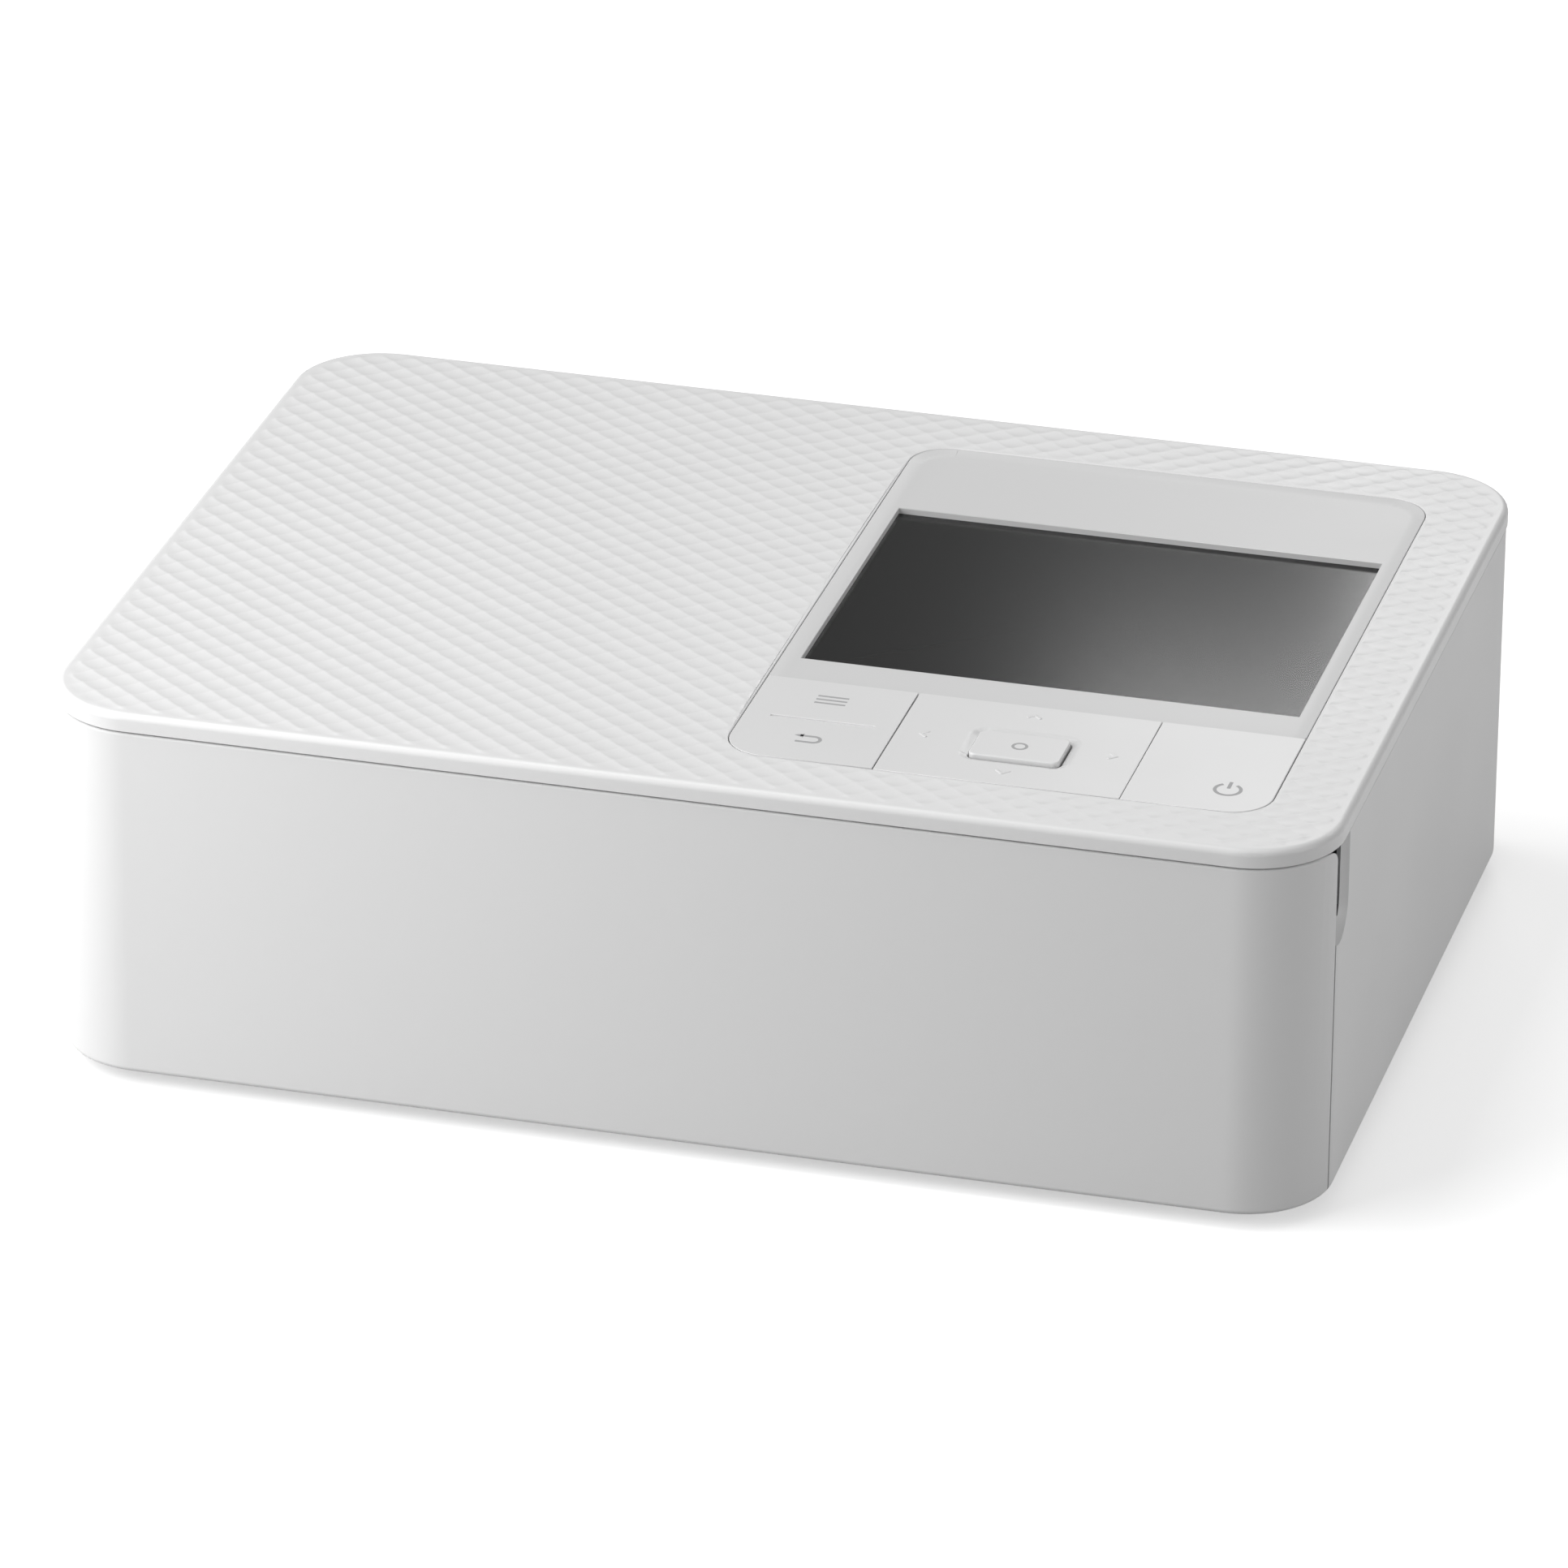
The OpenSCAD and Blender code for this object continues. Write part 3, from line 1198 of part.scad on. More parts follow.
module head_arm() {
    lug_w = 3;
    color("silver") {
        difference() {
            union() {
                block(head_x0 - 2, head_x1 + 2, arm_front, arm_y - 4, arm_z0, arm_z0 + arm_t);
                for (x = [head_x0 - 2, head_x1 + 2 - lug_w]) {
                    rod_x(x, x + lug_w, [arm_y, arm_z], 2.6);
                    block(x, x + lug_w, arm_y - 8, arm_y, arm_z0, arm_z0 + arm_t);
                }
                block(head_x0, head_x1, platen_y - 3.2, platen_y - 2, head_z + head_t + 1.5, arm_z0 + 0.2);
            }
            rod_x(head_x0 - 5, head_x1 + 5, [arm_y, arm_z], arm_shaft_r + run_fit);
            for (x = [head_x0 + 12 : 20 : head_x1 - 16])
                block(x, x + 10, platen_y + 6, arm_y - 14, arm_z0 - 1, arm_z0 + arm_t + 1);
        }
    }
}

module head_arm_shaft() {
    color("silver") rod_x(frame_out0 - 0.8, frame_out1 + 0.8, [arm_y, arm_z], arm_shaft_r);
}

module thermal_head() {
    color("wheat") block(head_x0, head_x1, platen_y - head_d / 2, platen_y + head_d / 2,
        head_z, head_z + head_t);
}

module head_heatsink() {
    fins = 6;
    z0 = head_z + head_t;
    color("lightslategray") {
        block(head_x0, head_x1, platen_y - 2, platen_y + head_d / 2, z0, z0 + 1.5);
        for (i = [0 : fins - 1])
            block(head_x0, head_x1, platen_y - 2 + i * 1.2, platen_y - 1.4 + i * 1.2, z0 + 1, z0 + 8);
    }
}

// ---------------------------------------------------------------- ink cassette

module spool_tube(y) {
    rod_x(tube_x0, tube_x1, [y, spool_z], tube_r);
}

module cassette_shell() {
    handle_x0 = frame_x1 - 3.2;
    color("slategray") difference() {
        union() {
            spool_tube(takeup_y);
            spool_tube(supply_y);
            // low bridge at the far end, which passes under the print head
            block(tube_x0, tube_x0 + 3, takeup_y, supply_y, cassette_z0, cassette_z0 + bridge_h);
            // handle end
            translate([handle_x0, 0, 0]) rotate([90, 0, 90])
                round_block(cassette_y0, cassette_y1, cassette_z0, cassette_z1, 0,
                    grip_end - handle_x0, 4);
        }
        for (y = [takeup_y, supply_y]) {
            rod_x(tube_x0 + tube_wall, tube_x1 - tube_wall, [y, spool_z], tube_r - tube_wall);
            rod_x(tube_x0 - 1, tube_x0 + 2, [y, spool_z], core_r + 0.3);
            rod_x(tube_x1 - 2, handle_x0 + 3.4, [y, spool_z], spindle_r + run_fit);
        }
        // mouths that let the ribbon out
        block(tube_x0 + 5, tube_x1 - 2, takeup_y + 2, takeup_y + tube_r + 1,
            cassette_z0 - 1, spool_z - 4.3);
        block(tube_x0 + 5, tube_x1 - 2, supply_y - tube_r - 1, supply_y - 0.5,
            cassette_z0 - 1, spool_z - 6.2);
        // finger recess in the handle
        for (z = [cassette_z0 - 1, cassette_z1 - 5])
            block(handle_x0 + 8, grip_end - 4, platen_y - 12, platen_y + 12, z, z + 6);
    }
}

// Spool core with end flanges, a socket for the spindle and a journal in the handle end
module spool(y, socket_fn, socket_r) {
    x0 = tube_x0 + 0.4;
    x1 = tube_x1 - tube_wall - 0.4;
    difference() {
        union() {
            rod_x(x0, x1, [y, spool_z], core_r);
            for (x = [tube_x0 + 2.6, x1 - 1]) rod_x(x, x + 1, [y, spool_z], tube_r - tube_wall - 0.4);
            rod_x(x1 - 0.1, tube_x1 + 2.6, [y, spool_z], spindle_r);
        }
        translate([x0 - 1, y, spool_z]) rotate([0, 90, 0])
            cylinder(h = 11, r = socket_r, $fn = socket_fn);
    }
}

module supply_spool() {
    color("white") spool(supply_y, 96, spindle_r - 0.2 + run_fit);
}

module takeup_spool() {
    color("white") spool(takeup_y, 6, spindle_r + spool_fit);
}

module roll(y, r) {
    difference() {
        rod_x(tube_x0 + 4.6, tube_x1 - 4, [y, spool_z], r);
        rod_x(tube_x0, tube_x1, [y, spool_z], core_r);
    }
}

module supply_roll() {
    color("goldenrod") roll(supply_y, supply_roll_r);
}

module takeup_roll() {
    color("saddlebrown") roll(takeup_y, takeup_roll_r);
}

// Ribbon between the rolls, just over the platen
module ribbon_web() {
    a = [takeup_y + takeup_roll_r - 1, spool_z - 3.7];
    b = [takeup_y + tube_r + 1.5, web_z];
    c = [supply_y - tube_r - 1.5, web_z];
    d = [supply_y - 1.2, spool_z - supply_roll_r - 0.2];
    t = [0, web_t];
    color("darkorange") translate([tube_x0 + 5.2, 0, 0]) rotate([90, 0, 90])
        linear_extrude(tube_x1 - tube_x0 - 10) polygon([a, b, c, d, d - t, c - t, b - t, a - t]);
}

// ---------------------------------------------------------------- electronics

module main_board() {
    color("darkgreen") block(board_x0, board_x1, board_y0, board_y1, board_z0, board_top);
}

// Processor, memory, capacitors, coils, connectors and the screened radio module
module board_parts() {
    color("black") {
        block(board_x0 + 7, board_x0 + 19, usb_y + 10, usb_y + 22, board_top, board_top + 1.2);
        block(board_x0 + 8, board_x0 + 18, usb_y + 25, usb_y + 33, board_top, board_top + 1);
        for (i = [0 : 3])
            rod_z(board_x0 + 6 + i * 4.5, board_y0 + 3.5, board_top, board_top + 6, 1.9);
        for (y = [usb_y - 12, usb_y + 29])
            block(board_x1 - 4, board_x1 - 0.5, y - 3, y + 3, board_top, board_top + 4);
        block(board_x0 + 18.6, board_x0 + 22.4, card_y - 11, card_y + 9, board_top, board_top + 3);
        block(board_x0 + 7, board_x0 + 17, usb_y - 7, usb_y + 7, board_top, board_top + 2.2);
    }
}

module dc_inlet() {
    color("dimgray") difference() {
        block(inlet_x - 4.5, inlet_x + 4.5, board_y1 - 4, in_y - socket_lap, board_top, inlet_z + 3.5);
        rod_y(inlet_x, in_y - 9, half_d, inlet_z, 2.75);
    }
    color("silver") rod_y(inlet_x, in_y - 9.2, in_y - 0.5, inlet_z, 0.85);
}

module usb_socket() {
    color("silver") difference() {
        translate([-in_x - 1.2, usb_y, board_top + 1.7]) rotate([90, 0, 90])
            round_block(-4.4, 4.4, -1.5, 1.5, 0, 7.4, 1.45);
        translate([-in_x - 2, usb_y, board_top + 1.7]) rotate([90, 0, 90])
            round_block(-4.1, 4.1, -1.2, 1.2, 0, 6, 1.15);
    }
    color("black")
        block(-in_x - 0.6, -in_x + 5, usb_y - 3.3, usb_y + 3.3, board_top + 1.35, board_top + 2.05);
}

module card_socket() {
    color("silver") difference() {
        block(-in_x + socket_lap, board_x0 + 18, card_y - 13.2, card_y + 13.2, board_top, board_top + 3);
        block(-in_x - 1, board_x0 + 16, card_y - 12.2, card_y + 12.2, board_top + 0.4, board_top + 2.6);
    }
}

// ---------------------------------------------------------------- fasteners

module case_screws() {
    color("silver") for (b = case_bosses) {
        rod_z(b[0], b[1], foot_h + 0.2, foot_h + screw_head_t, screw_head_r);
        rod_z(b[0], b[1], foot_h + 0.5, foot_h + screw_l, screw_r);
    }
}

module frame_screws() {
    z = floor_z + flange_t;
    color("silver") {
        for (s = foot_screws) {
            rod_z(s[0], s[1], z, z + screw_head_t, screw_head_r);
            rod_z(s[0], s[1], floor_z - 1.7, z + 0.5, screw_r);
        }
        for (b = cover_bosses) {
            rod_z(b[0], b[1], frame_top - flange_t - screw_head_t, frame_top - flange_t, 2 * cover_screw_r);
            rod_z(b[0], b[1], frame_top - flange_t - 0.5, frame_top + 3.8, cover_screw_r);
        }
    }
}

base_tray();
rubber_feet();
rear_housing();
top_cover();
front_fascia();
side_fascia();
front_cover();
front_cover_hinge_pins();
ink_door();
ink_door_hinge_pins();
slot_shutter();
eject_lever();
display_bezel();
display_window();
lcd_module();
key_carrier();
menu_back_key();
nav_tilt_ring();
nav_key();
ok_key();
power_key();
key_board();
key_domes();
left_frame();
right_frame();
tie_bars();
paper_deck();
motor_plate();
roller_bushes();
platen_shaft();
platen_sleeve();
grip_roller();
grip_gear();
pinch_roller();
pickup_shaft();
pickup_tyres();
pickup_gear();
idler_gear();
takeup_gear();
ribbon_motor();
ribbon_pinion();
feed_motor();
feed_pinion();
head_arm();
head_arm_shaft();
thermal_head();
head_heatsink();
cassette_shell();
supply_spool();
takeup_spool();
supply_roll();
takeup_roll();
ribbon_web();
main_board();
board_parts();
dc_inlet();
usb_socket();
card_socket();
case_screws();
frame_screws();
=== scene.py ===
"""A compact dye-sublimation photo printer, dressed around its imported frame.

The sections follow the printer as it is put together: base, frames and rollers, drives, print
head, ribbon, electronics, inner faces, outer shells, top cover, display and keys.
"""

import bmesh
import bpy
import numpy as np
from mathutils import Matrix, Vector
from mathutils.geometry import delaunay_2d_cdt


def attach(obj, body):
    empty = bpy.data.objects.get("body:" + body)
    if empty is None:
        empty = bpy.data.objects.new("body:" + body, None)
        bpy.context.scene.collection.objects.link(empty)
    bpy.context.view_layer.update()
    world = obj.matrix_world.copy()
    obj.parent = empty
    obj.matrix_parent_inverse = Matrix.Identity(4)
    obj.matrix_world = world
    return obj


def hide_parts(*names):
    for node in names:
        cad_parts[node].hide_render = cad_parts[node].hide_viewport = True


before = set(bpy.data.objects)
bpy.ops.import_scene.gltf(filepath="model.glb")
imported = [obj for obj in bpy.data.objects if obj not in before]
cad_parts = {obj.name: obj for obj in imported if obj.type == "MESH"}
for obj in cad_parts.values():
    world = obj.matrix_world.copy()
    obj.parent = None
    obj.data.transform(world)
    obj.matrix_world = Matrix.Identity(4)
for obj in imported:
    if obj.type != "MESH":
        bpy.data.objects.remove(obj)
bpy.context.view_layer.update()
MM = 0.001

# ---------------------------------------------------------------- camera
# The photograph was taken from far off with a long lens, from the printer's right-hand front,
# looking down. The camera aims a little off the middle of the case and leans by half a degree.

VIEW_AZIMUTH = np.radians(15.002)
VIEW_ELEVATION = np.radians(25.243)
VIEW_ROLL = np.radians(-0.418)
VIEW_DISTANCE = 1488.36 * MM
VIEW_TARGET = Vector((0, 0, 28.8 * MM))
VIEW_OFFSET = (1.635 * MM, 1.784 * MM)
VIEW_LENS = 240.1

view_back = Vector((
    np.sin(VIEW_AZIMUTH) * np.cos(VIEW_ELEVATION),
    -np.cos(VIEW_AZIMUTH) * np.cos(VIEW_ELEVATION),
    np.sin(VIEW_ELEVATION),
))
level_right = Vector((np.cos(VIEW_AZIMUTH), np.sin(VIEW_AZIMUTH), 0))
level_up = view_back.cross(level_right)
view_right = level_right * np.cos(VIEW_ROLL) - level_up * np.sin(VIEW_ROLL)
view_up = level_right * np.sin(VIEW_ROLL) + level_up * np.cos(VIEW_ROLL)

camera_data = bpy.data.cameras.new("camera")
camera_data.lens = VIEW_LENS
camera_data.sensor_width = 36
camera_data.clip_start = 0.05
camera_data.clip_end = 20
camera = bpy.data.objects.new("camera", camera_data)
bpy.context.scene.collection.objects.link(camera)
camera_place = (VIEW_TARGET - view_right * VIEW_OFFSET[0] - view_up * VIEW_OFFSET[1]
                + view_back * VIEW_DISTANCE)
camera.matrix_world = Matrix.Translation(camera_place) @ Matrix(
    (view_right, view_up, view_back)).transposed().to_4x4()
bpy.context.scene.camera = camera
bpy.context.scene.view_settings.view_transform = "Standard"

# ---------------------------------------------------------------- room
# A white table top under a white sky. One soft box stands close by at the front left, one high on
# the left and one at the right; two small ones behind are what the display mirrors.

TABLE_HALF = 6.0
TABLE_HEX = "#EDEDED"
TABLE_BOUNCE_HEX = "#8C8C8C"
TABLE_GLOW = 0.5
WORLD_LIGHT = 0.25
LAMPS_AIM = Vector((0.02, 0, 0.04))


def linear(hex_colour):
    """Turns an sRGB colour such as "#8090A0" into linear RGBA: over 0.04045 it is the value plus
    0.055, over 1.055, to the power 2.4, and below that the value over 12.92."""
    values = np.array([int(hex_colour[i:i + 2], 16) for i in (1, 3, 5)]) / 255
    values = np.where(values <= 0.04045, values / 12.92, ((values + 0.055) / 1.055) ** 2.4)
    return (*values.tolist(), 1.0)


def add(tree, kind, values=(), links=(), **settings):
    """Adds a node of one kind, with its settings, its socket values and its links."""
    made = tree.nodes.new("ShaderNode" + kind)
    for key, value in settings.items():
        setattr(made, key, value)
    for key, value in dict(values).items():
        made.inputs[key].default_value = value
    for key, source in dict(links).items():
        tree.links.new(source, made.inputs[key])
    return made


def new_material(name):
    """An empty node material: the material, its tree and its output node."""
    material = bpy.data.materials.new(name)
    material.use_nodes = True
    tree = material.node_tree
    tree.nodes.clear()
    return material, tree, add(tree, "OutputMaterial")


def mesh_object(name, points, faces, smooth=True):
    """A mesh object at the origin, from an array of points and an array or list of faces."""
    mesh = bpy.data.meshes.new(name)
    mesh.from_pydata(np.asarray(points).tolist(), [], [list(face) for face in faces])
    mesh.polygons.foreach_set("use_smooth", [smooth] * len(mesh.polygons))
    mesh.update()
    made = bpy.data.objects.new(name, mesh)
    bpy.context.scene.collection.objects.link(made)
    return made


# Matt white card. The camera, gloss and glass see it lifted to white, apart from its shadows;
# what it throws back on the printer is held down, as by a table that is mostly out of the light.
card, card_tree, card_output = new_material("matt_white_card")
card_rays = add(card_tree, "LightPath")
card_seen = add(card_tree, "Math", links={0: card_rays.outputs["Is Camera Ray"],
                                          1: card_rays.outputs["Is Glossy Ray"]},
                operation="MAXIMUM")
card_seen = add(card_tree, "Math", links={0: card_seen.outputs[0],
                                          1: card_rays.outputs["Is Transmission Ray"]},
                operation="MAXIMUM")
card_matt = add(card_tree, "BsdfDiffuse", {"Color": linear(TABLE_HEX)})
card_glow = add(card_tree, "Emission", {"Color": (1, 1, 1, 1), "Strength": TABLE_GLOW})
card_lifted = add(card_tree, "AddShader", links={0: card_matt.outputs[0], 1: card_glow.outputs[0]})
card_bounce = add(card_tree, "BsdfDiffuse", {"Color": linear(TABLE_BOUNCE_HEX)})
card_mix = add(card_tree, "MixShader", links={0: card_seen.outputs[0], 1: card_bounce.outputs[0],
                                              2: card_lifted.outputs[0]})
card_tree.links.new(card_mix.outputs[0], card_output.inputs["Surface"])

table = mesh_object("table", [(x * TABLE_HALF, y * TABLE_HALF, 0)
                              for x, y in ((-1, -1), (1, -1), (1, 1), (-1, 1))], [(0, 1, 2, 3)])
table.data.materials.append(card)

# Even light from all round, which the camera and glass see as plain white.
world = bpy.data.worlds.new("world")
bpy.context.scene.world = world
world.use_nodes = True
sky = world.node_tree
sky.nodes.clear()
sky_rays = add(sky, "LightPath")
sky_seen = add(sky, "Math", links={0: sky_rays.outputs["Is Camera Ray"],
                                   1: sky_rays.outputs["Is Transmission Ray"]},
               operation="MAXIMUM")
sky_light = add(sky, "Background", {"Color": (1, 1, 1, 1), "Strength": WORLD_LIGHT})
sky_white = add(sky, "Background", {"Color": (1, 1, 1, 1), "Strength": 1})
sky_mix = add(sky, "MixShader", links={0: sky_seen.outputs[0], 1: sky_light.outputs[0],
                                       2: sky_white.outputs[0]})
add(sky, "OutputWorld", links={"Surface": sky_mix.outputs[0]})

# Soft boxes: place and size in metres, and power in watts. They light the printer and show in its
# gloss, but the camera doesn't see them.
for box_name, place, box_width, box_height, watts in [
        ("left_soft_box", (-0.30, -0.268, 0.194), 0.38, 0.38, 1.62),
        ("high_soft_box", (-0.4, 0.0, 0.9), 0.6, 0.6, 4.15),
        ("right_soft_box", (0.9, -0.27, 0.28), 0.4, 0.4, 1.88),
        ("back_low_box", (0.05, 0.42, 0.25), 0.1, 0.06, 0.17),
        ("back_high_box", (-0.03, 0.42, 0.31), 0.06, 0.06, 0.074)]:
    lamp_data = bpy.data.lights.new(box_name, "AREA")
    lamp_data.shape = "RECTANGLE"
    lamp_data.size = box_width
    lamp_data.size_y = box_height
    lamp_data.energy = watts
    lamp = bpy.data.objects.new(box_name, lamp_data)
    bpy.context.scene.collection.objects.link(lamp)
    lamp.visible_camera = False
    lamp.location = place
    lamp.rotation_euler = (LAMPS_AIM - Vector(place)).to_track_quat("-Z", "Y").to_euler()

# ---------------------------------------------------------------- base tray and feet
# The base is one white ABS moulding, a tray with ribs and screw bosses. Four black rubber feet
# are plugged into it from below.

# An edge is sharp from SHARP_FROM degrees on, points nearer than MERGE_WITHIN are doubles, and faces
# that turn by less than FLAT_WITHIN degrees are one flat face.
SHARP_FROM = 38
MERGE_WITHIN = 0.012 * MM
FLAT_WITHIN = 0.3


def moulded(name, hex_colour, roughness, grain=0.35, depth=0.003, drift=0.03):
    """Injection-moulded plastic or rubber, on Object coordinates.

    grain and depth, in mm, are the width and height of the mould's spark-eroded texture, a
    bumped noise. drift is how far the roughness wanders over a few centimetres, as it does on
    parts that were handled; the tone wanders with it by one part in a hundred.
    """
    material, tree, output = new_material(name)
    place = add(tree, "TexCoord").outputs["Object"]
    fine = add(tree, "TexNoise", {"Scale": 1 / (grain * MM), "Detail": 1.5, "Roughness": 0.6},
               {"Vector": place})
    slow = add(tree, "TexNoise", {"Scale": 40.0, "Detail": 3.0}, {"Vector": place})
    tone = linear(hex_colour)
    tint = add(tree, "Mix", {6: [0.985 * c for c in tone[:3]] + [1], 7: tone},
               {0: slow.outputs["Fac"]}, data_type="RGBA")
    gloss = add(tree, "MapRange", {"From Min": 0.3, "From Max": 0.7, "To Min": roughness - drift,
                                   "To Max": roughness + drift}, {"Value": slow.outputs["Fac"]})
    skin = add(tree, "Bump", {"Strength": 1.0, "Distance": depth * MM},
               {"Height": fine.outputs["Fac"]})
    body = add(tree, "BsdfPrincipled", {"IOR": 1.5},
               {"Base Color": tint.outputs[2], "Roughness": gloss.outputs["Result"],
                "Normal": skin.outputs["Normal"]})
    tree.links.new(body.outputs[0], output.inputs["Surface"])
    return material


def dress(material, *nodes):
    """Gives a material to CAD nodes, in every slot that they have."""
    for name in nodes:
        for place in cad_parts[name].material_slots:
            place.material = material


def merged_mesh(node):
    """A bmesh of a copy of a CAD node's mesh, with its doubles merged."""
    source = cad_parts[node].data
    points = np.empty(3 * len(source.vertices))
    corners = np.empty(len(source.loops), dtype=int)
    source.vertices.foreach_get("co", points)
    source.loops.foreach_get("vertex_index", corners)
    loose = bpy.data.meshes.new("loose")
    loose.from_pydata(points.reshape(-1, 3).tolist(), [], corners.reshape(-1, 3).tolist())
    shape = bmesh.new()
    shape.from_mesh(loose)
    bpy.data.meshes.remove(loose)
    bmesh.ops.remove_doubles(shape, verts=shape.verts, dist=MERGE_WITHIN)
    return shape


def soft_edges(piece, radius, chosen, segments=2):
    """Rounds a piece's sharp edges whose two ends are chosen, and keeps its flat faces flat.

    radius is in mm, and chosen is a function that picks from an array of points in mm.
    """
    mesh = piece.data
    points = np.empty(3 * len(mesh.vertices))
    ends = np.empty(2 * len(mesh.edges), dtype=int)
    mesh.vertices.foreach_get("co", points)
    mesh.edges.foreach_get("vertices", ends)
    mesh.set_sharp_from_angle(angle=np.radians(SHARP_FROM))
    sharp = np.empty(len(mesh.edges), dtype=bool)
    mesh.attributes["sharp_edge"].data.foreach_get("value", sharp)
    picked = chosen(points.reshape(-1, 3) / MM)[ends.reshape(-1, 2)].all(axis=1) & sharp
    weight = mesh.attributes.new("bevel_weight_edge", "FLOAT", "EDGE")
    weight.data.foreach_set("value", picked.astype(float))
    bevel = piece.modifiers.new("soft_edges", "BEVEL")
    bevel.limit_method = "WEIGHT"
    bevel.width = radius * MM
    bevel.segments = segments
    bevel.use_clamp_overlap = False
    even = piece.modifiers.new("flat_faces", "WEIGHTED_NORMAL")
    even.keep_sharp = True
    even.weight = 100


def anywhere(points):
    """Chooses every point."""
    return np.ones(len(points), dtype=bool)


def smooth_piece(name, shape, material):
    """An object at the origin from a bmesh, which it frees: shaded smooth, in one material."""
    mesh = bpy.data.meshes.new(name)
    shape.to_mesh(mesh)
    shape.free()
    mesh.polygons.foreach_set("use_smooth", [True] * len(mesh.polygons))
    mesh.materials.append(material)
    piece = bpy.data.objects.new(name, mesh)
    bpy.context.scene.collection.objects.link(piece)
    return piece


def moulding(node, body, material, radius, segments=2, chosen=anywhere):
    """Stands for a CAD node: a copy of its mesh with its doubles merged, its flat faces joined
    and its chosen sharp edges rounded by radius, in mm."""
    shape = merged_mesh(node)
    bmesh.ops.dissolve_limit(shape, angle_limit=np.radians(FLAT_WITHIN),
                             use_dissolve_boundaries=False, verts=shape.verts, edges=shape.edges)
    piece = smooth_piece(node + "_moulding", shape, material)
    soft_edges(piece, radius, chosen, segments)
    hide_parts(node)
    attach(piece, body)


# ABS with a coarse eroded texture under the case, and soft rubber with a dull skin.
base_abs = moulded("moulded_abs_base", "#DEDEDE", 0.5, grain=0.45, depth=0.006)
foot_rubber = moulded("moulded_rubber_black", "#262626", 0.8, grain=0.5, depth=0.02)
moulding("base_tray", "case", base_abs, 0.15)
moulding("rubber_feet", "case", foot_rubber, 0.3)

# ---------------------------------------------------------------- frames, deck and tie bars
# Two frame plates, two tie bars and the motor plate are pressed from zinc-plated sheet steel.
# The paper deck between them is a grey ABS moulding with ribs along the paper's way.


def metal(name, hex_colour, roughness, streak, depth=0.0008):
    """Worked metal. streak is the size in mm, along x, y and z, of the marks of its working, and
    depth is their depth in mm. The tone wanders by up to a tenth, as a plated or ground skin's."""
    material, tree, output = new_material(name)
    place = add(tree, "TexCoord").outputs["Object"]
    marks_place = add(tree, "Mapping", {"Scale": [1 / (mark * MM) for mark in streak]},
                      {"Vector": place})
    marks = add(tree, "TexNoise", {"Scale": 1.0, "Detail": 2.0}, {"Vector": marks_place.outputs[0]})
    slow = add(tree, "TexNoise", {"Scale": 60.0, "Detail": 2.0}, {"Vector": place})
    tone = linear(hex_colour)
    tint = add(tree, "Mix", {6: [0.9 * c for c in tone[:3]] + [1], 7: tone},
               {0: slow.outputs["Fac"]}, data_type="RGBA")
    gloss = add(tree, "MapRange", {"From Min": 0.3, "From Max": 0.7, "To Min": roughness - 0.07,
                                   "To Max": roughness + 0.07}, {"Value": marks.outputs["Fac"]})
    skin = add(tree, "Bump", {"Strength": 1.0, "Distance": depth * MM},
               {"Height": marks.outputs["Fac"]})
    body = add(tree, "BsdfPrincipled", {"Metallic": 1.0},
               {"Base Color": tint.outputs[2], "Roughness": gloss.outputs["Result"],
                "Normal": skin.outputs["Normal"]})
    tree.links.new(body.outputs[0], output.inputs["Surface"])
    return material


# Zinc-plated sheet is a pale blue-grey with rolling marks along its length. The deck's grey ABS
# has a deeper texture than the outer shells', and is satin.
zinc_sheet = metal("zinc_plated_sheet", "#B4B8BC", 0.38, (0.4, 8, 0.4))
inner_abs = moulded("moulded_abs_grey", "#B6B8BA", 0.5, depth=0.005)
dress(zinc_sheet, "left_frame", "right_frame", "tie_bars", "motor_plate")
dress(inner_abs, "paper_deck")

# ---------------------------------------------------------------- rollers
# The shafts are ground steel in acetal bushes. Pick-up tyres and platen are black rubber, and
# the grip roller's steel is etched with points that hold the paper.

# Ground steel: bright, with fine marks round the shaft. Etched steel: duller and grained.
ground_steel = metal("ground_steel", "#C9CACC", 0.22, (0.15, 4, 4))
etched_steel = metal("etched_steel", "#A9ABAE", 0.45, (0.3, 0.3, 0.3), depth=0.01)
bush_acetal = moulded("moulded_acetal_tan", "#D4C49A", 0.4)
tyre_rubber = moulded("ground_rubber_black", "#1E1E1F", 0.85, grain=0.25, depth=0.015)
dress(bush_acetal, "roller_bushes")
dress(ground_steel, "pickup_shaft", "platen_shaft", "head_arm_shaft", "pinch_roller",
      "front_cover_hinge_pins", "ink_door_hinge_pins")
dress(tyre_rubber, "pickup_tyres", "platen_sleeve")
dress(etched_steel, "grip_roller")

# ---------------------------------------------------------------- gears and motors
# Moulded acetal gears mesh with turned brass pinions, which are pressed on the motors' shafts.
# The two motors are drawn steel cans, fixed to the motor plate.

# Acetal is a waxy ivory. Turned brass has marks round its axis. The cans are drawn and plated.
gear_acetal = moulded("moulded_acetal_ivory", "#E6E3D8", 0.35, grain=0.6, depth=0.002)
turned_brass = metal("turned_brass", "#D2AC5C", 0.28, (0.2, 3, 3))
drawn_can = metal("drawn_steel_can", "#9A9DA1", 0.33, (5, 0.5, 0.5))
dress(gear_acetal, "pickup_gear", "grip_gear", "idler_gear", "takeup_gear")
dress(turned_brass, "ribbon_pinion", "feed_pinion")
dress(drawn_can, "ribbon_motor", "feed_motor")

# ---------------------------------------------------------------- print head
# A glazed alumina bar carries the row of heating dots. It is clamped to an extruded aluminium
# heat sink on a pressed steel arm.

